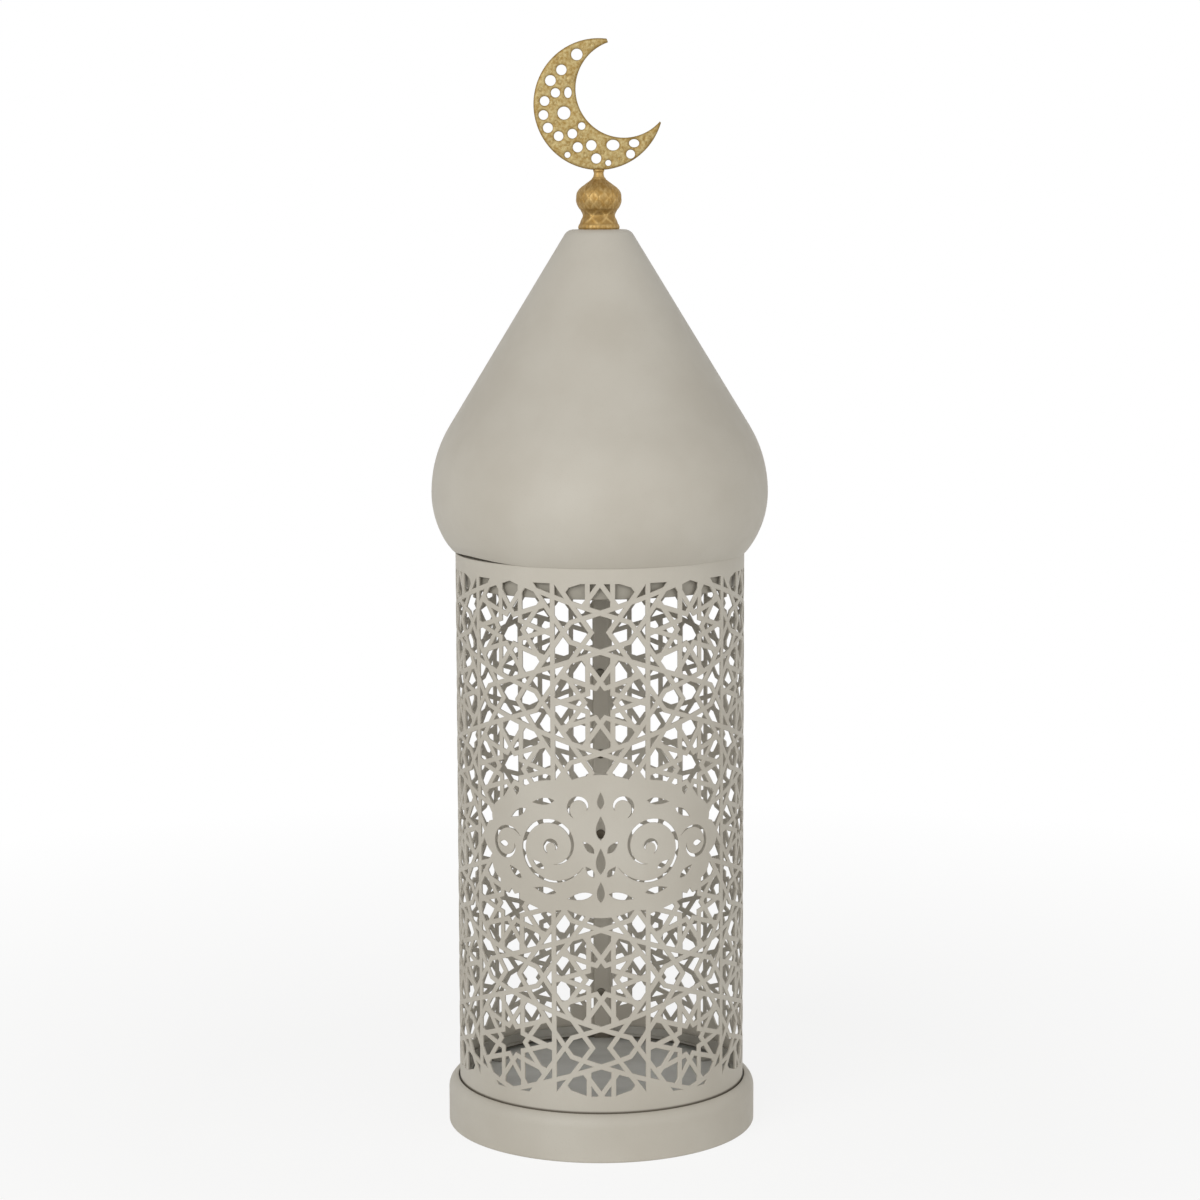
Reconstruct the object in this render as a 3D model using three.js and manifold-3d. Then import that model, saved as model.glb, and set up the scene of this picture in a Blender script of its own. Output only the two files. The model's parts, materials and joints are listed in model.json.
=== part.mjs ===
// Metal candle lantern: a round drum base, a laser-cut lattice tube rolled from one sheet,
// and a lift-off onion dome that carries a cast gilt finial and a pierced crescent.
// Millimetres, +Z up. The origin is on the ground at the centre of the base, and the
// front of the lantern faces -Y.

import * as THREE from 'three';
import { mergeGeometries, mergeVertices } from 'three/addons/utils/BufferGeometryUtils.js';
import Module from 'manifold-3d';

const wasm = await Module();
wasm.setup();

// Sheet and fits
const SHEET = 1.2; // wall of the drum, tube and dome
const FIT = 0.3; // gap between pieces that touch
const LOOSE = 0.4; // running clearance round the lid's collar
const OVERRUN = 2; // how far a cutter runs past what it cuts
const CUTTER = SHEET + 2 * OVERRUN; // length of a cutter through one sheet
const ROUND_STEPS = 36; // facets round a big turned piece
const BORE_STEPS = 12; // facets round a screw hole

// Tube
const TUBE_R = 80; // outside radius
const TUBE_SHOWN = 297.3; // height between the base and the dome
const BOTTOM_BAND = 9.2; // plain band over the base
const TOP_BAND = 8.1; // plain band under the dome
const BEND_STEP = 30; // longest facet round the tube

// Lap seam down the back of the tube
const LAP = 8; // overlap of the two sheet edges
const JOGGLE = 2.4; // run over which the inner edge steps inwards
const RIVET_COUNT = 6;
const RIVET_R = 1.6;
const RIVET_HEAD_R = 3.2;
const RIVET_HEAD_H = 1.1;
const RIVET_END = 16; // first rivet above the bottom band

// Star lattice
const STAR_PITCH = 52; // sideways step from one column of stars to the next
const STAR_RISE = 74.2; // height of the lowest front star over the base
const STAR_BAR_OFFSET = 6.72; // how far a star's own bars pass from its centre
const BAR = 2.7; // width of a lattice bar
const PETAL_TRIM = 0.7; // how much shorter a petal's opening is than the reach of its bars
const SMALLEST_CUT = 60; // area under which a clipped opening is left closed

// Cartouche in the front of the lattice
const PLAQUE_HALF_W = 73;
const PLAQUE_HALF_H = 39;
const PLAQUE_RISE = 147.4; // height of its centre over the base
const PLAQUE_LOBES = 12;
const PLAQUE_SCALLOP = 0.07; // depth of the scallops as a share of the radius
const SLOT = 2.4; // width of the cut scrolls

// Base
const BASE_H = 26;
const MOUTH_GAP = 0.8; // round the foot of the tube
const SHOULDER_W = 5.4;
const SHOULDER_H = 7;
const BASE_LIP = 9; // inward flange that the lantern stands on
const FLOOR_DROP = 2.4; // candle floor below the top of the base

// Rolled angle that stiffens the foot of the tube, open at the lap
const FOOT_RING_LIFT = 2.4; // clear of the candle floor
const FOOT_RING_H = 5.6;
const FOOT_RING_W = 3; // its inward flange, leg included

// Lugs that hold the tube down
const LUG_COUNT = 3;
const LUG_W = 12;
const LUG_LEG = 10;
const LUG_SCREW_R = 1.5;
const LUG_SCREW_IN = 7; // screw line in from the upright leg
const LUG_SCREW_HEAD_R = 2.8;
const LUG_SCREW_HEAD_H = 1.8;
const LUG_NUT_FLATS = 5.5;
const LUG_NUT_H = 2.4;

// Dome
const DOME_RIM_OVER = 0.7; // dome rim beyond the tube
const BULGE_R = 92.9;
const BULGE_RISE = 33.3; // widest point over the rim
const DOME_H = 177.1;
const BULGE_TOP_ARC = 70.3; // radius of the arc over the widest point
const CROWN_FLAT_R = 13.8; // flat that the finial stands on
const CROWN_FILLET = 6;
const RIM_FLANGE = 11; // inward flange that sits on the tube

// Collar that centres the lid in the tube
const COLLAR_DEPTH = 17;
const COLLAR_SHEET = 1;
const COLLAR_RIVET_COUNT = 4;
const COLLAR_RIVET_R = 1.4;
const COLLAR_RIVET_HEAD_R = 2.4;
const COLLAR_RIVET_HEAD_H = 1;

// Finial
const FINIAL_FOOT_R = 11.8;
const FINIAL_WAIST_R = 9.5;
const FINIAL_BULB_R = 13.2;
const FINIAL_NECK_R = 3.7;
const FINIAL_H = 28.2;
const SOCKET_H = 4.4;
const STUD_R = 2.5;
const STUD_HOLE_R = 2.8;
const WASHER_R = 5.5;
const WASHER_H = 1;
const NUT_FLATS = 8;
const NUT_H = 4;
const STUD_TAIL = 3; // stud below its nut

// Crescent
const MOON_R = 35.4;
const MOON_BITE_R = 26.3;
const MOON_BITE_X = 13.8; // bite centre from the disc centre
const MOON_BITE_Z = 8.3;
const MOON_SHEET = 2;
const MOON_TIP = 1.4; // blunt width of the tips
const TANG_W = 5;
const TANG_L = 3.4;
const MOON_HOLES = [ // x and z from the disc centre, half width and half height
  [-11.7, 26.7, 3.1, 3.1], [-20.1, 18.5, 2.8, 2.8], [-26.1, 12.8, 2.9, 2.9], [-23.4, 6.2, 2.5, 2.5],
  [-16.6, 6.3, 2, 2.9], [-29.3, 1.8, 2.6, 2.6], [-30, -5.7, 2.6, 2.6], [-18.8, -4.7, 3.5, 3.5],
  [-27.6, -12.6, 2.7, 2.7], [-21.8, -17.1, 2.6, 2.6], [-14.3, -15.8, 2.6, 2.6], [-9.2, -11.7, 2, 2],
  [-11.4, -23.1, 2.7, 2.7], [-4, -22.1, 2.8, 2.8], [-17, -27.2, 1.6, 1.6], [-1.3, -29.2, 2.7, 2.7],
  [7.8, -22, 3.5, 2.9], [5.2, -31.6, 1.6, 1.6], [19.3, -21, 2.8, 2.2], [17.4, -26.9, 2.4, 2.4],
];

// Levels, worked out from the sizes above
const FLOOR_Z = BASE_H - FLOOR_DROP;
const TUBE_TOP = BASE_H + TUBE_SHOWN;
const TUBE_IN = TUBE_R - SHEET;
const LAP_IN = TUBE_IN - SHEET - FIT; // inside of the lapped edge
const DOME_TOP = TUBE_TOP + DOME_H;
const FINIAL_TOP = DOME_TOP + FINIAL_H;
const DISC_Z = FINIAL_TOP + SOCKET_H + MOON_R;
const LAP_ANGLE = Math.PI; // the seam is at the back

// Materials
const paint = new THREE.MeshStandardMaterial({ color: 0xc6c1b5, roughness: 0.72, metalness: 0.0 });
const bareSteel = new THREE.MeshStandardMaterial({ color: 0x8f9598, roughness: 0.45, metalness: 0.9 });
const zinc = new THREE.MeshStandardMaterial({ color: 0xa9abab, roughness: 0.4, metalness: 0.9 });
const gilt = new THREE.MeshStandardMaterial({ color: 0xb98f45, roughness: 0.42, metalness: 0.85 });

const lantern = new THREE.Group();
lantern.name = 'metal_lantern';

const radians = THREE.MathUtils.degToRad;
const degrees = THREE.MathUtils.radToDeg;

function addPiece(name, geometry, material) {
  const mesh = new THREE.Mesh(geometry, material);
  mesh.name = name;
  lantern.add(mesh);
  return mesh;
}

// Keeps only positions, joins shared vertices and drops triangles with no area
function welded(source) {
  const plain = source.clone();
  plain.deleteAttribute('uv');
  plain.deleteAttribute('normal');
  const merged = mergeVertices(plain, 1e-4);
  const corners = merged.index.array;
  const kept = [];
  for (let i = 0; i < corners.length; i += 3) {
    const [a, b, c] = [corners[i], corners[i + 1], corners[i + 2]];
    if (a !== b && b !== c && c !== a) kept.push(a, b, c);
  }
  merged.setIndex(kept);
  return merged;
}

function toSolid(geometry) {
  const mesh = welded(geometry);
  return new wasm.Manifold(new wasm.Mesh({
    numProp: 3,
    vertProperties: new Float32Array(mesh.attributes.position.array),
    triVerts: new Uint32Array(mesh.index.array),
  }));
}

function toGeometry(solid) {
  const mesh = solid.getMesh();
  const geometry = new THREE.BufferGeometry();
  geometry.setAttribute('position', new THREE.BufferAttribute(new Float32Array(mesh.vertProperties), 3));
  geometry.setIndex(Array.from(mesh.triVerts));
  return geometry;
}

function cut(geometry, tools) {
  return toGeometry(toSolid(geometry).subtract(toSolid(mergeGeometries(tools.map(welded)))));
}

// Turns a closed profile of [radius, height] points about +Z. The profile runs
// anticlockwise: up the outside and down the inside.
function turned(profile, steps = ROUND_STEPS) {
  const points = profile.map(([r, z]) => new THREE.Vector2(r, z));
  const closed = profile[0][0] > 0 || profile[profile.length - 1][0] > 0;
  if (closed) points.push(points[0].clone());
  return welded(new THREE.LatheGeometry(points, steps).rotateX(Math.PI / 2));
}

// Points on an ellipse arc between two angles in degrees
function arc(cx, cz, rx, rz, from, to, steps) {
  return Array.from({ length: steps + 1 }, (_, i) => {
    const angle = radians(from + ((to - from) * i) / steps);
    return [cx + rx * Math.cos(angle), cz + rz * Math.sin(angle)];
  });
}

function upright(r, from, to, steps) {
  return new THREE.CylinderGeometry(r, r, to - from, steps)
    .rotateX(Math.PI / 2)
    .translate(0, 0, (from + to) / 2);
}

// Places a piece at a bearing round the axis: 0 is the front, and it turns towards +X
function atBearing(geometry, radius, bearing) {
  return geometry.rotateZ(bearing).translate(radius * Math.sin(bearing), -radius * Math.cos(bearing), 0);
}

function polar(radius, degrees) {
  return [radius * Math.cos(radians(degrees)), radius * Math.sin(radians(degrees))];
}

// A flat outline in X and height, extruded through a sheet
function plate(outline, from, depth) {
  const shape = new THREE.Shape(outline.map(([x, y]) => new THREE.Vector2(x, y)));
  return new THREE.ExtrudeGeometry(shape, { depth, bevelEnabled: false }).translate(0, 0, from);
}

// Moves every side of a closed outline inwards by one distance. The outline runs
// anticlockwise.
function inset(outline, distance) {
  const n = outline.length;
  const sides = outline.map(([x, y], i) => {
    const [u, v] = outline[(i + 1) % n];
    const length = Math.hypot(u - x, v - y);
    const normal = [(y - v) / length, (u - x) / length];
    return { normal, offset: normal[0] * x + normal[1] * y + distance };
  });
  return sides.map((side, i) => {
    const before = sides[(i + n - 1) % n];
    const det = before.normal[0] * side.normal[1] - before.normal[1] * side.normal[0];
    return [
      (before.offset * side.normal[1] - side.offset * before.normal[1]) / det,
      (before.normal[0] * side.offset - side.normal[0] * before.offset) / det,
    ];
  });
}

function mirrored(outline, sx, sy) {
  const points = outline.map(([x, y]) => [x * sx, y * sy]);
  return sx * sy < 0 ? points.reverse() : points;
}

function rotated(outline, degrees) {
  const [c, s] = polar(1, degrees);
  return outline.map(([x, y]) => [x * c - y * s, x * s + y * c]);
}

function moved(outline, dx, dy) {
  return outline.map(([x, y]) => [x + dx, y + dy]);
}

// Ten-fold star lattice. The plane is tiled with decagons and bow ties, and every bar
// crosses the middle of a tile's side at 36 degrees. Each star then has ten pairs of
// bars of its own that run from its centre out to the ring.

const STAR_STEP_UP = STAR_PITCH * Math.tan(radians(36));
const TILE_APOTHEM = STAR_PITCH / (2 * Math.cos(radians(36)));
const RING = STAR_PITCH / 2;

// A point at a direction from a star's centre, on the bar that passes the centre at the
// given distance with its normal turned away by the given angle
function onBar(distance, direction, away) {
  return polar(distance / Math.cos(radians(away)), direction);
}

// The star's eye and the ten petals round it
function starCuts() {
  const s = STAR_BAR_OFFSET;
  const eye = Array.from({ length: 10 }, (_, k) => onBar(s, 36 * k + 18, 54));
  const reach = RING / Math.cos(radians(18)) - PETAL_TRIM;
  const petal = [onBar(s, 0, 54), [reach, -s], [reach, s]];
  const cuts = [inset(eye, BAR / 2)];
  for (let k = 0; k < 10; k += 1) cuts.push(rotated(inset(petal, BAR / 2), 36 * k + 18));
  return cuts;
}

// The waisted opening between two stars of a column, the two hexagons beside it and the
// four shields at its corners
function bowTieCuts() {
  const slope = Math.tan(radians(54));
  const [crossX, crossDrop] = polar(TILE_APOTHEM, 72);
  const crossY = STAR_STEP_UP - crossDrop;
  const waist = crossX - crossY / slope;
  const endX = STAR_PITCH - TILE_APOTHEM;
  const fall = Math.tan(radians(18));
  const bendX = (slope * endX - crossY - fall * crossX) / (slope - fall);
  const bendY = slope * (endX - bendX);
  const lift = (crossX * fall) / 2;
  const tie = [
    [waist, 0], [crossX, crossY + lift], [-crossX, crossY + lift],
    [-waist, 0], [-crossX, -crossY - lift], [crossX, -crossY - lift],
  ];
  const hexagon = [[waist, 0], [crossX, -crossY], [endX, 0], [crossX, crossY]];
  const ringY = STAR_STEP_UP - TILE_APOTHEM * Math.sin(radians(36));
  const shield = [[crossX, crossY], [bendX, bendY], [endX, 0], [RING, ringY]];
  const cuts = [inset(tie, BAR / 2)];
  for (const side of [1, -1]) {
    cuts.push(inset(mirrored(hexagon, side, 1), BAR / 2));
    for (const end of [1, -1]) cuts.push(inset(mirrored(shield, side, end), BAR / 2));
  }
  return cuts;
}

// Scalloped outline of the cartouche, about its own centre
function plaqueOutline() {
  const steps = PLAQUE_LOBES * 4;
  return Array.from({ length: steps }, (_, i) => {
    const angle = (2 * Math.PI * i) / steps;
    const lobe = 1 - PLAQUE_SCALLOP * (1 - Math.abs(Math.cos((PLAQUE_LOBES / 2) * angle)));
    return [PLAQUE_HALF_W * lobe * Math.cos(angle), PLAQUE_HALF_H * lobe * Math.sin(angle)];
  });
}

// A slot along a spiral that tapers to both ends
function scroll(cx, cy, r0, r1, from, to, steps = 10) {
  const [outer, inner] = [[], []];
  for (let i = 0; i <= steps; i += 1) {
    const t = i / steps;
    const half = (SLOT / 2) * Math.max(0.25, Math.sin(Math.PI * t));
    const [c, s] = polar(1, from + (to - from) * t);
    const r = r0 + (r1 - r0) * t;
    outer.push([cx + (r + half) * c, cy + (r + half) * s]);
    inner.push([cx + (r - half) * c, cy + (r - half) * s]);
  }
  return to > from ? [...outer, ...inner.reverse()] : [...inner, ...outer.reverse()];
}

// A pointed leaf from one point towards a direction
function leaf(x, y, length, width, direction, steps = 2) {
  const side = (sign) => Array.from({ length: steps }, (_, i) => {
    const t = (i + 1) / (steps + 1);
    return [length * t, sign * (width / 2) * Math.sin(Math.PI * t)];
  });
  const outline = [[0, 0], ...side(-1), [length, 0], ...side(1).reverse()];
  return moved(rotated(outline, direction), x, y);
}

// The arabesque: a palmette on the centre line between mirrored scrolls and leaves
function plaqueCuts() {
  const half = [
    scroll(32, 2, 13, 7, 150, 450, 6),
    leaf(10, -8, 12, 4.6, -40),
    leaf(49, 0, 13, 4.6, 0),
  ];
  const cuts = [leaf(0, -22, 18, 5.4, 90), leaf(0, 0, 15, 5.4, 90)];
  for (const outline of half) cuts.push(outline, mirrored(outline, -1, 1));
  return cuts;
}

// The triangles on one face of a flat sheet, as points and corners
function faceOf(solid) {
  const { vertProperties, triVerts } = solid.getMesh();
  const points = [];
  const number = new Map();
  const corners = [];
  for (let i = 0; i < triVerts.length; i += 3) {
    const triangle = [triVerts[i], triVerts[i + 1], triVerts[i + 2]];
    if (triangle.some((v) => vertProperties[3 * v + 2] < SHEET / 2)) continue;
    for (const v of triangle) {
      if (!number.has(v)) {
        number.set(v, points.length);
        points.push([vertProperties[3 * v], vertProperties[3 * v + 1]]);
      }
      corners.push(number.get(v));
    }
  }
  return { points, corners };
}

function twiceArea(a, b, c) {
  return (b[0] - a[0]) * (c[1] - a[1]) - (b[1] - a[1]) * (c[0] - a[0]);
}

// How far a point lies inside the circle through three others
function insideCircle(a, b, c, p) {
  const rows = [a, b, c].map(([x, y]) => [x - p[0], y - p[1], (x - p[0]) ** 2 + (y - p[1]) ** 2]);
  return new THREE.Matrix3().set(...rows[0], ...rows[1], ...rows[2]).determinant();
}

// Swaps the diagonals of neighbouring triangles until none of them is needlessly long,
// so that the sheet bends smoothly
function relaxed({ points, corners }) {
  let swapped = true;
  for (let pass = 0; swapped && pass < 60; pass += 1) {
    swapped = false;
    const owner = new Map();
    const done = new Set();
    for (let i = 0; i < corners.length; i += 1) {
      const next = i % 3 === 2 ? i - 2 : i + 1;
      owner.set(`${corners[i]}_${corners[next]}`, i);
    }
    for (const [key, i] of owner) {
      const [from, to] = key.split('_');
      const j = owner.get(`${to}_${from}`);
      if (j === undefined) continue;
      const [first, second] = [Math.floor(i / 3), Math.floor(j / 3)];
      if (done.has(first) || done.has(second)) continue;
      const [a, b] = [Number(from), Number(to)];
      const c = corners[3 * first + ((i % 3) + 2) % 3];
      const d = corners[3 * second + ((j % 3) + 2) % 3];
      const [pa, pb, pc, pd] = [points[a], points[b], points[c], points[d]];
      const convex = twiceArea(pa, pd, pc) > 1e-3 && twiceArea(pd, pb, pc) > 1e-3;
      if (!convex || insideCircle(pa, pb, pc, pd) < 1e-2) continue;
      corners.splice(3 * first, 3, a, d, c);
      corners.splice(3 * second, 3, d, b, c);
      done.add(first).add(second);
      swapped = true;
    }
  }
  return { points, corners };
}

// Divides the sides of the triangles where share says: it gives the place of the new
// point between one end at 0 and the other at 1, and a side without one is left whole
function divided({ points, corners }, share) {
  const middles = new Map();
  const middle = (from, to) => {
    const [a, b] = from < to ? [from, to] : [to, from];
    const t = share(points[a][0], points[b][0]);
    if (!(t > 0 && t < 1)) return -1;
    const key = `${a}_${b}`;
    if (!middles.has(key)) {
      middles.set(key, points.length);
      points.push([0, 1].map((axis) => points[a][axis] * (1 - t) + points[b][axis] * t));
    }
    return middles.get(key);
  };
  const next = [];
  for (let i = 0; i < corners.length; i += 3) {
    const v = corners.slice(i, i + 3);
    const m = [middle(v[0], v[1]), middle(v[1], v[2]), middle(v[2], v[0])];
    const ring = v.flatMap((corner, k) => (m[k] < 0 ? [corner] : [corner, m[k]]));
    const start = ring.length === 3 ? 0 : ring.findIndex((p) => m.includes(p));
    if (ring.length === 6) {
      next.push(m[0], m[1], m[2], v[0], m[0], m[2], v[1], m[1], m[0], v[2], m[2], m[1]);
      continue;
    }
    for (let k = 1; k + 1 < ring.length; k += 1) {
      next.push(ring[start], ring[(start + k) % ring.length], ring[(start + k + 1) % ring.length]);
    }
  }
  return { face: { points, corners: next }, changed: middles.size > 0 };
}

// Halves the sides that run further round the tube than one facet may
function halved(face) {
  return divided(face, (a, b) => (Math.abs(a - b) > BEND_STEP ? 0.5 : 0));
}

// Puts a bend line straight up the sheet
function creased(face, line) {
  const clear = (x) => Math.abs(x - line) > OVERRUN / 100;
  return divided(face, (a, b) => (clear(a) && clear(b) ? (line - a) / (b - a) : 0)).face;
}

// Gives a flat face its thickness, with a wall on every open side
function thickened({ points, corners }, depth) {
  const open = new Map();
  for (let i = 0; i < corners.length; i += 1) {
    const [a, b] = [corners[i], corners[i % 3 === 2 ? i - 2 : i + 1]];
    if (!open.delete(`${b}_${a}`)) open.set(`${a}_${b}`, [a, b]);
  }
  const n = points.length;
  const index = [];
  for (let i = 0; i < corners.length; i += 3) {
    const [a, b, c] = corners.slice(i, i + 3);
    index.push(a + n, b + n, c + n, c, b, a);
  }
  for (const [a, b] of open.values()) index.push(a, b, b + n, a, b + n, a + n);
  const geometry = new THREE.BufferGeometry();
  const places = [0, depth].flatMap((z) => points.flatMap(([x, y]) => [x, y, z]));
  geometry.setAttribute('position', new THREE.BufferAttribute(new Float32Array(places), 3));
  geometry.setIndex(index);
  return geometry;
}

// Rolls the flat sheet round the axis. Past the joggle its edge runs inside the other
// edge, which makes the lap seam.
function rolled(geometry, joggleEnd) {
  const place = geometry.attributes.position;
  for (let i = 0; i < place.count; i += 1) {
    const along = place.getX(i);
    const height = place.getY(i);
    const inward = (SHEET + FIT) * THREE.MathUtils.clamp((along - joggleEnd + JOGGLE) / JOGGLE, 0, 1);
    const radius = TUBE_IN + place.getZ(i) - inward;
    const bearing = along / TUBE_R;
    place.setXYZ(i, radius * Math.sin(bearing), -radius * Math.cos(bearing), height);
  }
  return geometry;
}

// Keeps the part of an opening that lies in the lattice and clear of the cartouche
function clippedCuts(outlines, windowSolid, plaqueSolid, low, high, left, right) {
  const whole = [];
  const pieces = [];
  for (const outline of outlines) {
    const inside = outline.every(([x, y]) => x > left && x < right && y > low && y < high);
    const outside = outline.every(([x]) => x < left) || outline.every(([x]) => x > right)
      || outline.every(([, y]) => y < low) || outline.every(([, y]) => y > high);
    if (outside) continue;
    const nearPlaque = outline.some(([x, y]) => Math.abs(x) < PLAQUE_HALF_W + BAR
      && Math.abs(y - BASE_H - PLAQUE_RISE) < PLAQUE_HALF_H + BAR);
    const prism = plate(outline, -OVERRUN, CUTTER);
    if (inside && !nearPlaque) {
      whole.push(welded(prism));
      continue;
    }
    const piece = toSolid(prism).intersect(windowSolid).subtract(plaqueSolid);
    if (piece.volume() > SMALLEST_CUT * CUTTER) pieces.push(piece);
  }
  return { whole: toSolid(mergeGeometries(whole)), pieces };
}

function rivetHeights() {
  const low = BASE_H + BOTTOM_BAND + RIVET_END;
  const high = TUBE_TOP - COLLAR_DEPTH - RIVET_END;
  return Array.from({ length: RIVET_COUNT }, (_, i) => low + ((high - low) * i) / (RIVET_COUNT - 1));
}

function latticeTube() {
  const seam = LAP_ANGLE * TUBE_R;
  const low = BASE_H + BOTTOM_BAND;
  const high = TUBE_TOP - TOP_BAND;
  const left = -seam + LAP / 2 + FIT;
  const joggleEnd = seam - LAP / 2 - FIT;
  const right = joggleEnd - JOGGLE;
  const rectangle = (x0, y0, x1, y1) => [[x0, y0], [x1, y0], [x1, y1], [x0, y1]];
  const sheet = toSolid(plate(rectangle(-seam - LAP / 2, FLOOR_Z, seam + LAP / 2, TUBE_TOP), 0, SHEET));
  const mask = (outline) => toSolid(plate(outline, -2 * OVERRUN, CUTTER + 2 * OVERRUN));
  const windowSolid = mask(rectangle(left, low, right, high));
  const plaqueCentre = BASE_H + PLAQUE_RISE;
  const plaqueSolid = mask(moved(plaqueOutline(), 0, plaqueCentre));

  const outlines = [];
  const columns = Math.ceil(seam / STAR_PITCH) + 1;
  const rows = Math.ceil(TUBE_SHOWN / (2 * STAR_STEP_UP)) + 1;
  for (let i = -columns; i <= columns; i += 1) {
    for (let j = -1; j <= rows; j += 1) {
      const x = i * STAR_PITCH;
      const y = BASE_H + STAR_RISE + (2 * j + (i % 2 === 0 ? 0 : 1)) * STAR_STEP_UP;
      for (const outline of starCuts()) outlines.push(moved(outline, x, y));
      for (const outline of bowTieCuts()) outlines.push(moved(outline, x, y + STAR_STEP_UP));
    }
  }
  const { whole, pieces } = clippedCuts(outlines, windowSolid, plaqueSolid, low, high, left, right);
  let solid = sheet.subtract(whole);
  for (const piece of pieces) solid = solid.subtract(piece);
  const scrolls = plaqueCuts().map((outline) => plate(moved(outline, 0, plaqueCentre), -OVERRUN, CUTTER));
  solid = solid.subtract(toSolid(mergeGeometries(scrolls.map(welded))));
  const hole = plate(arc(0, 0, RIVET_R + FIT, RIVET_R + FIT, 0, 300, 5), -OVERRUN, CUTTER);
  const rivetHoles = rivetHeights().flatMap((height) => [-seam, seam].map(
    (x) => hole.clone().translate(x, height, 0)));
  solid = solid.subtract(toSolid(mergeGeometries(rivetHoles.map(welded))));
  let step = { face: relaxed(faceOf(solid)), changed: true };
  while (step.changed) step = halved(relaxed(step.face));
  const creases = [left, joggleEnd];
  return rolled(thickened(creases.reduce(creased, step.face), SHEET), joggleEnd);
}

// A rivet with a domed head at each end, along +Z from the low head's seat
function rivet(shaft, head, headHeight, grip, steps = 6) {
  return turned([
    [0, -headHeight], [head * 0.6, -headHeight * 0.8], [head, 0], [shaft, 0],
    [shaft, grip], [head, grip], [head * 0.6, grip + headHeight * 0.8], [0, grip + headHeight],
  ], steps);
}

function addTube() {
  addPiece('lattice_tube', latticeTube(), paint);
  const seat = LAP_IN - FIT;
  const grip = TUBE_R + FIT - seat;
  rivetHeights().forEach((height, i) => {
    const body = rivet(RIVET_R, RIVET_HEAD_R, RIVET_HEAD_H, grip).rotateX(-Math.PI / 2);
    addPiece(`seam_rivet_${i + 1}`, body.translate(0, seat, height), bareSteel);
  });
}

function lugBearing(i) {
  return (2 * Math.PI * i) / LUG_COUNT;
}

// Outside of the foot ring, clear of the tube's flattest facet
function footRingR() {
  return TUBE_IN * Math.cos(BEND_STEP / 2 / TUBE_R) - FIT;
}

// Outer face of a lug, which stands against the inside of the foot ring
function lugFace() {
  const facetIn = (footRingR() - SHEET) * Math.cos(Math.PI / ROUND_STEPS);
  return Math.sqrt((facetIn - FIT) ** 2 - (LUG_W / 2) ** 2);
}

// The ring's flange is notched where the lugs pass, and the ring is open at the lap
function addFootRing() {
  const outside = footRingR();
  const low = FLOOR_Z + FOOT_RING_LIFT;
  const high = low + FOOT_RING_H;
  const section = [
    [outside - FOOT_RING_W, low], [outside, low], [outside, high], [outside - SHEET, high],
    [outside - SHEET, low + SHEET], [outside - FOOT_RING_W, low + SHEET],
  ];
  const block = (inner, outer, width, tall) => new THREE.BoxGeometry(width, outer - inner, tall)
    .translate(0, 0, low + tall / 2);
  const inner = outside - FOOT_RING_W - OVERRUN;
  const leg = lugFace();
  const notches = Array.from({ length: LUG_COUNT }, (_, i) => atBearing(
    block(inner, leg + FIT, LUG_W + 2 * FIT, SHEET + FIT).translate(0, 0, -FIT / 2),
    (inner + leg + FIT) / 2, lugBearing(i)));
  const gap = LAP + 2 * (JOGGLE + 2 * FIT);
  const opening = block(inner, outside + OVERRUN, gap, FOOT_RING_H + OVERRUN).translate(0, 0, -OVERRUN / 2);
  notches.push(atBearing(opening, (inner + outside + OVERRUN) / 2, LAP_ANGLE));
  addPiece('foot_ring', cut(turned(section), notches), bareSteel);
}

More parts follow.
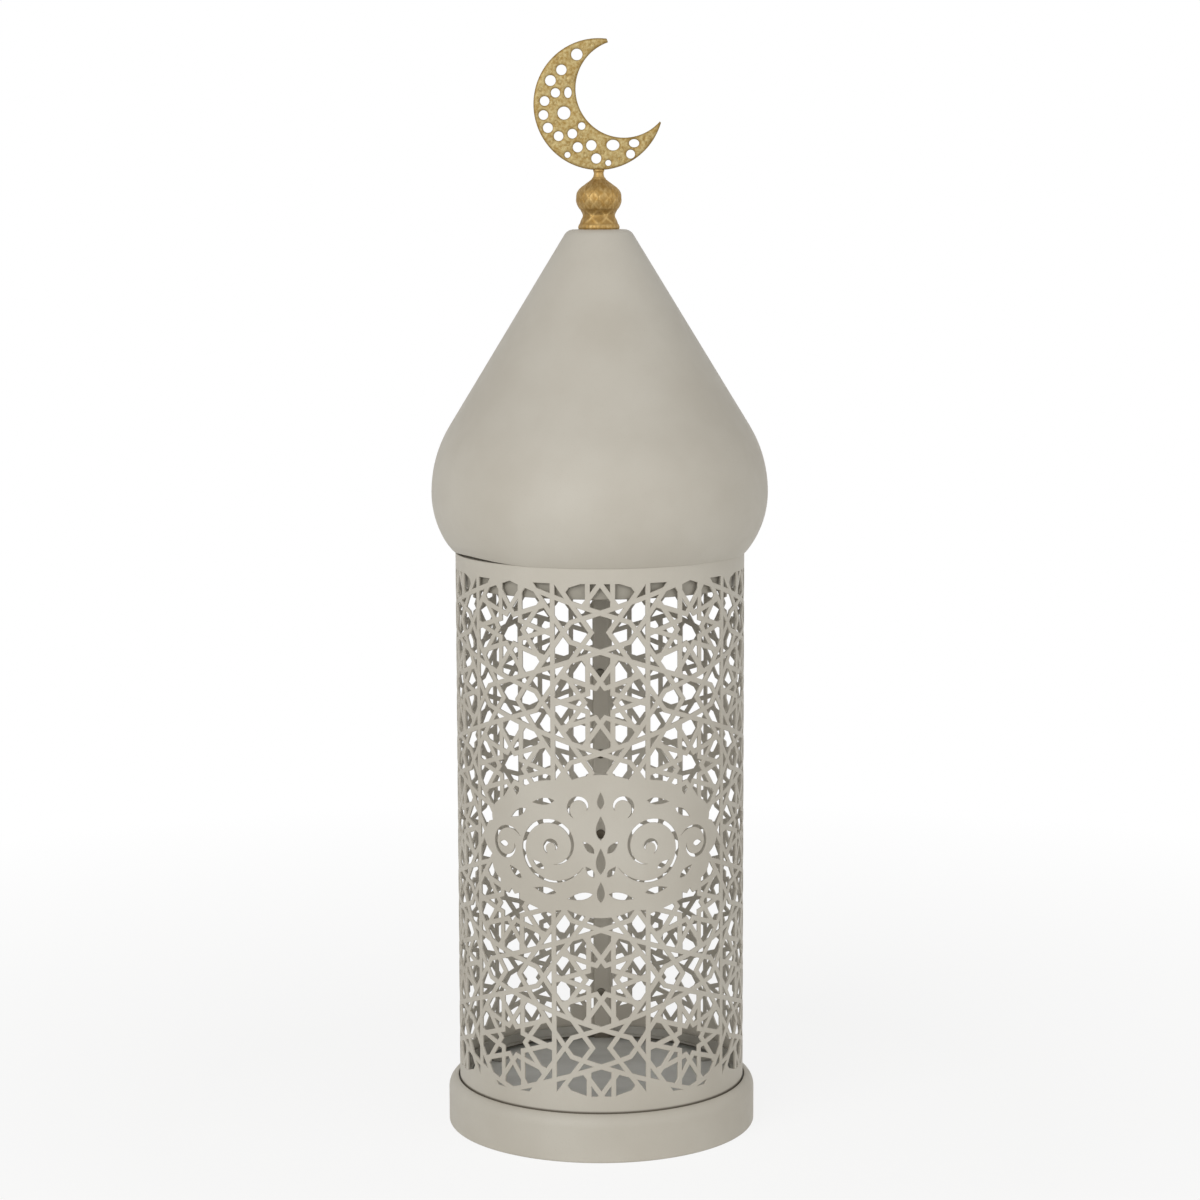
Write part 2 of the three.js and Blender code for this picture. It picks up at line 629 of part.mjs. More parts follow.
function addBase() {
  const mouth = TUBE_R + MOUTH_GAP;
  const baseR = mouth + SHOULDER_W;
  const shoulderZ = BASE_H - SHOULDER_H;
  const drum = [
    ...arc(baseR - SHEET, SHEET, SHEET, SHEET, -90, 0, 2),
    ...arc(mouth, shoulderZ, SHOULDER_W, SHOULDER_H, 0, 90, 4),
    ...arc(mouth, shoulderZ, SHOULDER_W - SHEET, SHOULDER_H - SHEET, 90, 0, 3),
    [baseR - SHEET, SHEET],
    [baseR - BASE_LIP, SHEET],
    [baseR - BASE_LIP, 0],
  ];
  addPiece('base_drum', turned(drum), paint);

  const under = (FLOOR_Z - shoulderZ) / (SHOULDER_H - SHEET);
  const panR = mouth + (SHOULDER_W - SHEET) * Math.sqrt(1 - under * under) - FIT;
  const pan = [
    [0, FLOOR_Z - SHEET], [panR - SHEET, FLOOR_Z - SHEET], [panR - SHEET, SHEET],
    [panR, SHEET], [panR, FLOOR_Z], [0, FLOOR_Z],
  ];
  const screwRadius = lugFace() - SHEET - LUG_SCREW_IN;
  const bore = () => upright(
    LUG_SCREW_R + FIT, FLOOR_Z - SHEET - OVERRUN, FLOOR_Z + SHEET + OVERRUN, BORE_STEPS);
  const holes = Array.from({ length: LUG_COUNT }, (_, i) => atBearing(bore(), screwRadius, lugBearing(i)));
  addPiece('floor_pan', cut(turned(pan), holes), bareSteel);

  for (let i = 0; i < LUG_COUNT; i += 1) {
    const bearing = lugBearing(i);
    const reach = LUG_LEG + SHEET;
    const angle = [[0, 0], [reach, 0], [reach, SHEET], [SHEET, SHEET], [SHEET, LUG_LEG], [0, LUG_LEG]];
    const body = plate(angle, -LUG_W / 2, LUG_W).rotateX(Math.PI / 2).rotateZ(Math.PI / 2);
    const hole = bore().translate(0, SHEET + LUG_SCREW_IN, 0);
    const lug = cut(body.translate(0, 0, FLOOR_Z), [hole]);
    addPiece(`tube_lug_${i + 1}`, atBearing(lug, lugFace(), bearing), bareSteel);

    const top = FLOOR_Z + SHEET;
    const tail = FLOOR_Z - SHEET - LUG_NUT_H - SHEET;
    const screw = turned([
      [0, tail], [LUG_SCREW_R, tail], [LUG_SCREW_R, top], [LUG_SCREW_HEAD_R, top],
      [LUG_SCREW_HEAD_R * 0.8, top + LUG_SCREW_HEAD_H * 0.8], [0, top + LUG_SCREW_HEAD_H],
    ], BORE_STEPS);
    addPiece(`lug_screw_${i + 1}`, atBearing(screw, screwRadius, bearing), zinc);

    const nutTop = FLOOR_Z - SHEET;
    addPiece(`lug_nut_${i + 1}`, atBearing(
      hexNut(LUG_NUT_FLATS, LUG_NUT_H, LUG_SCREW_R + FIT, nutTop - LUG_NUT_H), screwRadius, bearing), zinc);
  }
}

function hexNut(flats, height, hole, bottom) {
  const body = upright(flats / 2 / Math.cos(Math.PI / 6), bottom, bottom + height, 6);
  return cut(body, [upright(hole, bottom - OVERRUN, bottom + height + OVERRUN, BORE_STEPS)]);
}

// Section of the dome, moved inwards by the given distance. It runs from the rim to the
// edge of the flat crown.
function domeSection(depth) {
  const bulgeZ = TUBE_TOP + BULGE_RISE;
  const drop = BULGE_R - TUBE_R - DOME_RIM_OVER;
  const lowArc = (BULGE_RISE ** 2 + drop ** 2) / (2 * drop);
  const lowRadius = lowArc - depth;
  const start = -degrees(Math.asin((BULGE_RISE - depth) / lowRadius));
  const topCentre = BULGE_R - BULGE_TOP_ARC;
  const filletZ = DOME_TOP - CROWN_FILLET;
  const [across, up] = [CROWN_FLAT_R - topCentre, filletZ - bulgeZ];
  const lean = Math.acos((BULGE_TOP_ARC - CROWN_FILLET) / Math.hypot(across, up));
  const cone = degrees(Math.atan2(up, across) - lean); // the side's slope, from the axis
  return [
    ...arc(BULGE_R - lowArc, bulgeZ, lowRadius, lowRadius, start, 0, 5),
    ...arc(topCentre, bulgeZ, BULGE_TOP_ARC - depth, BULGE_TOP_ARC - depth, 0, cone, 3).slice(1),
    ...arc(CROWN_FLAT_R, filletZ, CROWN_FILLET - depth, CROWN_FILLET - depth, cone, 90, 2),
  ];
}

function addLid() {
  const flangeIn = TUBE_R + DOME_RIM_OVER - RIM_FLANGE;
  const rivetLine = flangeIn + COLLAR_RIVET_HEAD_R + 2 * FIT;
  const bearing = (i) => (2 * Math.PI * (i + 0.5)) / COLLAR_RIVET_COUNT;
  const bore = () => upright(
    COLLAR_RIVET_R + FIT, TUBE_TOP - COLLAR_SHEET - OVERRUN, TUBE_TOP + SHEET + OVERRUN, BORE_STEPS);
  const holes = () => Array.from(
    { length: COLLAR_RIVET_COUNT }, (_, i) => atBearing(bore(), rivetLine, bearing(i)));

  const shell = [
    [flangeIn, TUBE_TOP],
    ...domeSection(0),
    [STUD_HOLE_R, DOME_TOP],
    [STUD_HOLE_R, DOME_TOP - SHEET],
    ...domeSection(SHEET).reverse(),
    [flangeIn, TUBE_TOP + SHEET],
  ];
  addPiece('dome', cut(turned(shell), holes()), paint);

  const collarR = LAP_IN - LOOSE;
  const collar = [
    [collarR - COLLAR_SHEET, TUBE_TOP - COLLAR_DEPTH], [collarR, TUBE_TOP - COLLAR_DEPTH],
    [collarR, TUBE_TOP], [flangeIn, TUBE_TOP],
    [flangeIn, TUBE_TOP - COLLAR_SHEET], [collarR - COLLAR_SHEET, TUBE_TOP - COLLAR_SHEET],
  ];
  addPiece('lid_collar', cut(turned(collar), holes()), paint);

  for (let i = 0; i < COLLAR_RIVET_COUNT; i += 1) {
    const body = rivet(COLLAR_RIVET_R, COLLAR_RIVET_HEAD_R, COLLAR_RIVET_HEAD_H, SHEET + COLLAR_SHEET)
      .translate(0, 0, TUBE_TOP - COLLAR_SHEET);
    addPiece(`collar_rivet_${i + 1}`, atBearing(body, rivetLine, bearing(i)), bareSteel);
  }
}

function addFinial() {
  const height = (share) => DOME_TOP + FINIAL_H * share;
  const side = new THREE.SplineCurve([
    [FINIAL_FOOT_R, 0], [FINIAL_FOOT_R * 0.92, 0.11], [FINIAL_WAIST_R, 0.27], [FINIAL_BULB_R * 0.9, 0.42],
    [FINIAL_BULB_R, 0.57], [FINIAL_BULB_R * 0.92, 0.73], [FINIAL_BULB_R * 0.58, 0.88], [FINIAL_NECK_R, 1],
  ].map(([r, share]) => new THREE.Vector2(r, height(share))));
  const ball = [
    [STUD_HOLE_R, DOME_TOP],
    ...side.getPoints(13).map((p) => [p.x, p.y]),
    [STUD_HOLE_R, FINIAL_TOP],
  ];
  addPiece('finial_ball', turned(ball, 20), gilt);

  const slotW = TANG_W + 2 * FIT;
  const slotT = MOON_SHEET + 2 * FIT;
  const slot = new THREE.BoxGeometry(slotW, slotT, 2 * TANG_L).translate(0, 0, FINIAL_TOP + SOCKET_H);
  const socket = turned([
    [0, FINIAL_TOP], [FINIAL_NECK_R, FINIAL_TOP], [FINIAL_NECK_R * 0.95, FINIAL_TOP + SOCKET_H / 2],
    [FINIAL_NECK_R * 1.05, FINIAL_TOP + SOCKET_H - FIT], [0, FINIAL_TOP + SOCKET_H - FIT],
  ], 16);
  addPiece('crescent_socket', cut(socket, [slot]), gilt);

  const seat = DOME_TOP - SHEET;
  const tail = seat - WASHER_H - NUT_H - STUD_TAIL;
  addPiece('finial_stud', upright(STUD_R, tail, FINIAL_TOP - FIT, 12), zinc);
  const washer = upright(WASHER_R, seat - WASHER_H, seat, 16);
  const hole = upright(STUD_HOLE_R, seat - WASHER_H - OVERRUN, seat + OVERRUN, 12);
  addPiece('stud_washer', cut(washer, [hole]), zinc);
  addPiece('stud_nut', hexNut(NUT_FLATS, NUT_H, STUD_HOLE_R, seat - WASHER_H - NUT_H), zinc);
}

function addCrescent() {
  const away = Math.hypot(MOON_BITE_X, MOON_BITE_Z);
  const lean = Math.atan2(MOON_BITE_Z, MOON_BITE_X);
  const reach = MOON_BITE_R + MOON_TIP;
  const half = Math.acos((MOON_R ** 2 + away ** 2 - reach ** 2) / (2 * MOON_R * away));
  const tip = (sign) => [MOON_R * Math.cos(lean + sign * half), MOON_R * Math.sin(lean + sign * half)];
  const biteAngle = (sign) => Math.atan2(tip(sign)[1] - MOON_BITE_Z, tip(sign)[0] - MOON_BITE_X);
  const shape = new THREE.Shape();
  shape.absarc(0, 0, MOON_R, lean + half, lean - half + 2 * Math.PI, false);
  shape.absarc(MOON_BITE_X, MOON_BITE_Z, MOON_BITE_R, biteAngle(-1), biteAngle(1), true);
  for (const [x, z, halfWidth, halfHeight] of MOON_HOLES) {
    const path = new THREE.Path();
    path.absellipse(x, z, halfWidth, halfHeight, 0, 2 * Math.PI, true);
    shape.holes.push(path);
  }
  const face = new THREE.ExtrudeGeometry(shape, { depth: MOON_SHEET, bevelEnabled: false, curveSegments: 6 });
  const tang = new THREE.BoxGeometry(TANG_W, TANG_L + 2 * MOON_TIP, MOON_SHEET)
    .translate(0, -MOON_R - TANG_L / 2 + MOON_TIP, MOON_SHEET / 2);
  const joined = toGeometry(toSolid(face).add(toSolid(tang)));
  joined.translate(0, 0, -MOON_SHEET / 2).rotateX(Math.PI / 2).translate(0, 0, DISC_Z);
  addPiece('crescent', joined, gilt);
}

addBase();
addFootRing();
addTube();
addLid();
addFinial();
addCrescent();

export default lantern;
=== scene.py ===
"""Looks of a pierced metal candle lantern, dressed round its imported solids.

A drum base, a laser-cut star lattice rolled into a tube, and a lift-off onion dome with a
cast finial and a pierced crescent. Sizes are in millimetres and become metres in the mesh.
The lantern's front faces -Y.
"""

import json
import logging
import math
from collections.abc import Callable, Iterable, Sequence
from dataclasses import dataclass, field
from enum import Enum, IntEnum

import bmesh
import bpy
from mathutils import Matrix, Vector
from mathutils.geometry import delaunay_2d_cdt

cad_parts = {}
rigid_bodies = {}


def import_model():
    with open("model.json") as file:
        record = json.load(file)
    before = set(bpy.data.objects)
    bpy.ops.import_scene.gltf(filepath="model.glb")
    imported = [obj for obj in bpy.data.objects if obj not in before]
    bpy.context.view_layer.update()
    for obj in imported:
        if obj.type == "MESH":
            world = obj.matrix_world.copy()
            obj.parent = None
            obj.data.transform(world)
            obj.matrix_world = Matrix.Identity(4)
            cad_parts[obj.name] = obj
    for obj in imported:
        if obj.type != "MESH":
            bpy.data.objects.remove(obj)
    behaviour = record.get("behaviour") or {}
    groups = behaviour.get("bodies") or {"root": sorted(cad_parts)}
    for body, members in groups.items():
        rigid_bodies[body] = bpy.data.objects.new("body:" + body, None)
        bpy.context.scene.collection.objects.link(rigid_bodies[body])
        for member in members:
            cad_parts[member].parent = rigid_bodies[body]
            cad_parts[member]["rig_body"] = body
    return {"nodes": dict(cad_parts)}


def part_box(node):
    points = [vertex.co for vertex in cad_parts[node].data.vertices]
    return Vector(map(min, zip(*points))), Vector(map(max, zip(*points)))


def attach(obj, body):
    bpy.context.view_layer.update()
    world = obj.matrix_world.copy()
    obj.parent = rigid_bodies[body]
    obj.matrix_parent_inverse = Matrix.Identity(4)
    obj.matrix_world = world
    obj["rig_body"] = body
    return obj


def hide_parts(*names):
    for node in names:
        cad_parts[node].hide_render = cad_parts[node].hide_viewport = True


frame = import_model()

log = logging.getLogger("lantern")

Point = tuple[float, float]
Spot = tuple[float, float, float]
Outline = list[Point]

MM = 0.001  # one millimetre, in Blender's metres
RELIEF = "relief"  # attribute: 0 in the hollows of a casting, 1 on its high spots
SHARP_ANGLE = 32.0  # degrees; flatter edges are shaded smooth
SMALL_ANGLE = 50.0  # degrees; the same on small pieces with eased or domed edges
CAST_ANGLE = 60.0  # degrees; the same on castings, whose relief is soft
EASED_ANGLE = 40.0  # degrees; sharper edges of a small solid are eased
FLAT_ANGLE = 1.0  # degrees; flatter edges of a copied solid are dissolved
STRIP_EASE = 0.25  # millimetres; eased edge of bent strip
FASTENER_EASE = 0.15  # millimetres; eased edge of screws, nuts and small rivets
WELD = 1e-7  # metres; corners of a turned mesh that are closer become one
SOLID_WELD = 1e-6  # metres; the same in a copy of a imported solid
CUT_WELD = 1e-5  # millimetres; the same in a cut sheet
NO_LENGTH = 1e-8  # metres; shorter edges of a turned mesh are dissolved


class Body(Enum):
    """The rigid bodies that the pieces ride on."""

    LANTERN = "lantern_body"
    LID = "lid"


class Slot(Enum):
    """The record's material slots."""

    PAINT = "powder_coat"
    STEEL = "bare_steel"
    ZINC = "zinc_fastener"
    BRASS = "antique_brass"


class Ring(IntEnum):
    """Places in the list of outlines that the lattice sheet is cut along."""

    SHEET = 0
    WINDOW = 1
    PLAQUE = 2
    FIRST_OPENING = 3


# Small helpers


def linear(code: str) -> tuple[float, float, float, float]:
    """Turns an sRGB hex code into a linear colour.

    Args:
        code: six hex digits.

    Returns:
        Linear red, green, blue and an alpha of 1.
    """
    shares = [int(code[i:i + 2], 16) / 255 for i in (0, 2, 4)]
    red, green, blue = [c / 12.92 if c <= 0.04045 else ((c + 0.055) / 1.055) ** 2.4 for c in shares]
    return red, green, blue, 1.0


def add_node(tree: bpy.types.NodeTree, kind: str, inputs: dict | None = None,
             **settings: object) -> bpy.types.Node:
    """Adds one node to a tree.

    Args:
        tree: the node tree.
        kind: the node's type name.
        inputs: values for its sockets, or output sockets to link to them.
        **settings: the node's own properties.

    Returns:
        The new node.
    """
    node = tree.nodes.new(kind)
    for name, value in settings.items():
        setattr(node, name, value)
    for key, value in (inputs or {}).items():
        if isinstance(value, bpy.types.NodeSocket):
            tree.links.new(value, node.inputs[key])
        else:
            node.inputs[key].default_value = value
    return node


def polar(radius: float, degrees: float) -> Point:
    """Returns the point at a radius and an angle."""
    return radius * math.cos(math.radians(degrees)), radius * math.sin(math.radians(degrees))


def arc(cx: float, cy: float, rx: float, ry: float, start: float, end: float,
        steps: int) -> Outline:
    """Returns points on an ellipse arc between two angles in degrees."""
    angles = [math.radians(start + (end - start) * i / steps) for i in range(steps + 1)]
    return [(cx + rx * math.cos(a), cy + ry * math.sin(a)) for a in angles]


def moved(outline: Outline, dx: float, dy: float) -> Outline:
    """Returns the outline shifted by dx and dy."""
    return [(x + dx, y + dy) for x, y in outline]


def turned_round(outline: Outline, degrees: float) -> Outline:
    """Returns the outline turned about the origin."""
    c, s = polar(1, degrees)
    return [(x * c - y * s, x * s + y * c) for x, y in outline]


def mirrored(outline: Outline, sx: int, sy: int) -> Outline:
    """Returns the outline mirrored by signs, still anticlockwise."""
    points = [(x * sx, y * sy) for x, y in outline]
    return points[::-1] if sx * sy < 0 else points


def inset(outline: Outline, distance: float) -> Outline:
    """Moves every side of an anticlockwise outline inwards.

    Args:
        outline: the corners.
        distance: how far each side moves.

    Returns:
        The new corners, as many as before.
    """
    sides = []
    for (x, y), (u, v) in zip(outline, outline[1:] + outline[:1]):
        length = math.hypot(u - x, v - y)
        nx, ny = (y - v) / length, (u - x) / length
        sides.append((nx, ny, nx * x + ny * y + distance))
    corners = []
    for (ax, ay, a), (bx, by, b) in zip(sides[-1:] + sides[:-1], sides):
        det = ax * by - ay * bx
        corners.append(((a * by - b * ay) / det, (ax * b - bx * a) / det))
    return corners


def smooth_line(points: Sequence[Point], steps: int) -> Outline:
    """Runs a smooth curve through points.

    Args:
        points: the points that it passes.
        steps: how many pieces each stretch is cut into.

    Returns:
        The points on the curve.
    """
    ends = [points[0], *points, points[-1]]
    line: Outline = [points[0]]
    for a, b, c, d in zip(ends, ends[1:], ends[2:], ends[3:]):
        for i in range(1, steps + 1):
            t = i / steps
            line.append(tuple(
                0.5 * (2 * q + (r - p) * t + (2 * p - 5 * q + 4 * r - s) * t * t
                       + (3 * q - p - 3 * r + s) * t ** 3)
                for p, q, r, s in zip(a, b, c, d)))
    return line


def ease(value: float) -> float:
    """Returns a smooth step of value, held between 0 and 1."""
    t = min(1.0, max(0.0, value))
    return t * t * (3 - 2 * t)


def tube_radius() -> float:
    """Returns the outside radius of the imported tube, in millimetres."""
    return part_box("lattice_tube")[1].x / MM


# Finishes


@dataclass(frozen=True)
class Finish:
    """What every finish shares: a name and the way that its material starts."""

    name: str

    def material(self) -> bpy.types.Material:
        """Makes the finish's material the first time that it is asked for.

        Returns:
            The material, the same one each time.
        """
        found = bpy.data.materials.get(self.name)
        if found:
            return found
        made = bpy.data.materials.new(self.name)
        made.use_nodes = True
        self.dress(made.node_tree, made.node_tree.nodes["Principled BSDF"])
        return made

    def dress(self, tree: bpy.types.NodeTree, shader: bpy.types.Node) -> None:
        """Adds the finish's own nodes. Each finish has its own."""
        raise NotImplementedError

    @staticmethod
    def noise(tree: bpy.types.NodeTree, size_mm: float, detail: float = 3.0,
              stretch: Spot = (1, 1, 1)) -> bpy.types.NodeSocket:
        """Adds a noise whose blotches have a real size.

        Args:
            tree: the node tree.
            size_mm: how far apart the blotches lie.
            detail: octaves of finer noise.
            stretch: how much closer they lie along each axis.

        Returns:
            The noise's factor.
        """
        place = add_node(tree, "ShaderNodeTexCoord").outputs["Object"]
        scaled = add_node(tree, "ShaderNodeMapping", {"Vector": place, "Scale": stretch})
        made = add_node(tree, "ShaderNodeTexNoise", {
            "Vector": scaled.outputs["Vector"], "Scale": 1 / (size_mm * MM), "Detail": detail})
        return made.outputs["Fac"]

    @staticmethod
    def spread(tree: bpy.types.NodeTree, fac: bpy.types.NodeSocket, low: float, high: float,
               to_low: float, to_high: float) -> bpy.types.NodeSocket:
        """Adds a map from one range of values to another.

        Args:
            tree: the node tree.
            fac: the value to map.
            low: where the first range starts.
            high: where the first range ends.
            to_low: what low becomes.
            to_high: what high becomes.

        Returns:
            The mapped value.
        """
        made = add_node(tree, "ShaderNodeMapRange", {
            "Value": fac, "From Min": low, "From Max": high, "To Min": to_low, "To Max": to_high})
        return made.outputs["Result"]

    @staticmethod
    def blend(tree: bpy.types.NodeTree, fac: bpy.types.NodeSocket, first: object,
              second: object) -> bpy.types.NodeSocket:
        """Adds a mix of two colours or colour sockets and returns its result."""
        # a Mix node's colours are its inputs 6 and 7, and the mixed colour its output 2
        made = add_node(tree, "ShaderNodeMix", {0: fac, 6: first, 7: second}, data_type="RGBA")
        return made.outputs[2]


@dataclass(frozen=True)
class PowderCoat(Finish):
    """Matte polyester powder coat, baked on.

    The powder melts into a skin with a faint orange peel, so the gloss is soft and broken,
    and the colour shifts a little where the coat is thinner. Its grit is too fine to show,
    and is drawn as specks about as coarse as one pixel of the photo. A band of painted
    shade can darken the coat up to a height, for the shadow in the crevice where the tube
    enters the drum.
    """

    colour: str = "CAC5BA"
    thin_colour: str = "C0BAAE"
    speck_colour: str = "B1AB9C"
    # colour of the painted shade line, for the shadow in a crevice
    dirt_colour: str = "6A6357"
    cloud_mm: float = 70.0
    peel_mm: float = 1.6
    peel_depth_mm: float = 0.05
    grit_mm: float = 0.45
    grit_depth_mm: float = 0.02
    roughness: float = 0.56
    ior: float = 1.5
    specular: float = 0.42
    # height up to which the painted shade line darkens the coat; 0 leaves it out
    dirt_top_mm: float = 0.0
    dirt_fade_mm: Point = (0.6, 0.3)  # how far under and over its top the painted shade fades

    def dress(self, tree: bpy.types.NodeTree, shader: bpy.types.Node) -> None:
        """Adds the clouding, the painted shade line, the orange peel and the grit of the coat.

        Args:
            tree: the material's node tree.
            shader: its Principled shader.
        """
        clouds = self.spread(tree, self.noise(tree, self.cloud_mm, 4), 0.35, 0.65, 0, 1)
        grit = self.noise(tree, self.grit_mm, 2)
        base = self.blend(tree, clouds, linear(self.colour), linear(self.thin_colour))
        speck = self.spread(tree, grit, 0.62, 0.72, 0, 0.35)
        tint = self.blend(tree, speck, base, linear(self.speck_colour))
        # painted shade: the coat darkens below a height, for the shadow in a crevice
        if self.dirt_top_mm:
            place = add_node(tree, "ShaderNodeTexCoord").outputs["Object"]
            up = add_node(tree, "ShaderNodeSeparateXYZ", {"Vector": place}).outputs["Z"]
            under, over = self.dirt_fade_mm
            line = self.spread(tree, up, (self.dirt_top_mm - under) * MM,
                               (self.dirt_top_mm + over) * MM, 1, 0)
            tint = self.blend(tree, line, tint, linear(self.dirt_colour))
        tree.links.new(tint, shader.inputs["Base Color"])
        gloss = self.spread(tree, self.noise(tree, self.peel_mm * 4, 3), 0.3, 0.7,
                            self.roughness - 0.05, self.roughness + 0.07)
        tree.links.new(gloss, shader.inputs["Roughness"])
        shader.inputs["IOR"].default_value = self.ior
        shader.inputs["Specular IOR Level"].default_value = self.specular
        peel = add_node(tree, "ShaderNodeBump", {
            "Height": self.noise(tree, self.peel_mm, 2), "Strength": 0.35,
            "Distance": self.peel_depth_mm * MM})
        fine = add_node(tree, "ShaderNodeBump", {
            "Height": grit, "Strength": 0.25, "Distance": self.grit_depth_mm * MM,
            "Normal": peel.outputs["Normal"]})
        tree.links.new(fine.outputs["Normal"], shader.inputs["Normal"])


@dataclass(frozen=True)
class AgedGilt(Finish):
    """Cast brass, gold lacquered and rubbed back.

    The lacquer is dark and dull in the hollows of the relief and worn bright on its high
    spots, and the casting's skin is slightly rough.
    """

    bright: str = "B39866"
    warm: str = "9E7D46"
    dark: str = "8C6E3C"
    skin_mm: float = 0.9
    skin_depth_mm: float = 0.05
    blotch_mm: float = 2.6
    hollow_roughness: float = 0.64
    worn_roughness: float = 0.5

    def dress(self, tree: bpy.types.NodeTree, shader: bpy.types.Node) -> None:
        """Adds the worn relief, the blotches and the cast skin.

        Args:
            tree: the material's node tree.
            shader: its Principled shader.
        """
        relief = add_node(tree, "ShaderNodeAttribute", attribute_name=RELIEF).outputs["Fac"]
        blotch = self.spread(tree, self.noise(tree, self.blotch_mm, 4), 0.35, 0.68, 0, 1)
        worn = self.blend(tree, blotch, linear(self.bright), linear(self.warm))
        lift = self.spread(tree, relief, 0.0, 0.75, 0, 1)
        tint = self.blend(tree, lift, linear(self.dark), worn)
        tree.links.new(tint, shader.inputs["Base Color"])
        shader.inputs["Metallic"].default_value = 1.0
        rough = self.spread(tree, relief, 0.0, 1.0, self.hollow_roughness, self.worn_roughness)
        tree.links.new(rough, shader.inputs["Roughness"])
        skin = add_node(tree, "ShaderNodeBump", {
            "Height": self.noise(tree, self.skin_mm, 3), "Strength": 0.5,
            "Distance": self.skin_depth_mm * MM})
        tree.links.new(skin.outputs["Normal"], shader.inputs["Normal"])


@dataclass(frozen=True)
class MillSteel(Finish):
    """Cold-rolled mild steel, left bare.

    Rolling leaves streaks in one direction, with dull blotches of oxide and oil. Under oil
    and dust it looks a plain pale grey, so it is hardly metallic. The streaks are too fine
    to show, and are drawn about as coarse as one pixel of the photo.
    """

    colour: str = "D0D0CD"
    oxide: str = "C0C0BC"
    streak_mm: float = 0.5
    streak_stretch: Spot = (0.02, 1, 1)
    streak_depth_mm: float = 0.02
    blotch_mm: float = 24.0
    metallic: float = 0.1

    def dress(self, tree: bpy.types.NodeTree, shader: bpy.types.Node) -> None:
        """Adds the rolling streaks and the oxide blotches.

        Args:
            tree: the material's node tree.
            shader: its Principled shader.
        """
        blotch = self.spread(tree, self.noise(tree, self.blotch_mm, 5), 0.4, 0.7, 0, 1)
        streaks = self.noise(tree, self.streak_mm, 2, self.streak_stretch)
        tint = self.blend(tree, blotch, linear(self.colour), linear(self.oxide))
        tree.links.new(tint, shader.inputs["Base Color"])
        shader.inputs["Metallic"].default_value = self.metallic
        rough = self.spread(tree, streaks, 0.3, 0.7, 0.46, 0.62)
        tree.links.new(rough, shader.inputs["Roughness"])
        scratch = add_node(tree, "ShaderNodeBump", {
            "Height": streaks, "Strength": 0.2, "Distance": self.streak_depth_mm * MM})
        tree.links.new(scratch.outputs["Normal"], shader.inputs["Normal"])


@dataclass(frozen=True)
class ZincPlate(Finish):
    """Bright zinc plate on small screws and nuts.

    It is pale and a little cloudy, with a yellowish cast from its passivation.
    """

    colour: str = "BFC1BD"
    cast: str = "B9B29A"
    cloud_mm: float = 2.5

    def dress(self, tree: bpy.types.NodeTree, shader: bpy.types.Node) -> None:
        """Adds the cloudy passivation.

        Args:
            tree: the material's node tree.
            shader: its Principled shader.
        """
        cloud = self.noise(tree, self.cloud_mm, 3)
        tint = self.blend(tree, cloud, linear(self.colour), linear(self.cast))
        tree.links.new(tint, shader.inputs["Base Color"])
        shader.inputs["Metallic"].default_value = 1.0
        rough = self.spread(tree, cloud, 0.3, 0.7, 0.26, 0.42)
        tree.links.new(rough, shader.inputs["Roughness"])


PAINT = PowderCoat("powder_coat_greige")
# The same coat on the tube, with painted shade on its foot for the shadow in the crevice of the
# drum.
TUBE_PAINT = PowderCoat("powder_coat_greige_tube", dirt_top_mm=27.0)
# A darker copy of the coat on the collar, painting the shade that falls on it inside the lid.
THIN_PAINT = PowderCoat("powder_coat_overspray", colour="A9A499", thin_colour="A19C90")
GILT = AgedGilt("aged_gilt_casting")
# The crescent's coat is paler on the flats and darker round the holes, in small blotches.
PALE_GILT = AgedGilt("aged_gilt_plate", bright="AF9F73", warm="8F7543", dark="735A2C",
                     blotch_mm=1.5)
STEEL = MillSteel("bare_rolled_steel")
# A darker and warmer copy of the bare steel, for the lugs and foot ring, painting their shade at
# the tube's foot.
DARK_STEEL = MillSteel("pickled_strip_steel", colour="A7A49C", oxide="8D8980")
# Rivets that have gone brown and dull in use, and read as dark spots.
DULL_STEEL = MillSteel("oxidised_rivet_steel", colour="77746A", oxide="54493A", metallic=0.7)
ZINC = ZincPlate("zinc_plate")


# Mesh making


def turned(profile: Outline, steps: int, closed: bool = True) -> bmesh.types.BMesh:
    """Spins a profile of radius and height round the lantern's axis.

    Args:
        profile: the points, in millimetres.
        steps: how many faces go round.
        closed: whether the last point joins the first.

    Returns:
        The turned mesh, in metres.
    """
    bm = bmesh.new()
    verts = [bm.verts.new((r * MM, 0, z * MM)) for r, z in profile]
    line = verts + verts[:1] if closed else verts
    edges = [bm.edges.new(pair) for pair in zip(line, line[1:]) if pair[0].co != pair[1].co]
    bmesh.ops.spin(bm, geom=verts + edges, cent=(0, 0, 0), axis=(0, 0, 1), angle=2 * math.pi,
                   steps=steps, use_merge=True)
    bmesh.ops.remove_doubles(bm, verts=bm.verts, dist=WELD)
    bmesh.ops.dissolve_degenerate(bm, edges=bm.edges, dist=NO_LENGTH)
    bmesh.ops.recalc_face_normals(bm, faces=bm.faces)
    return bm


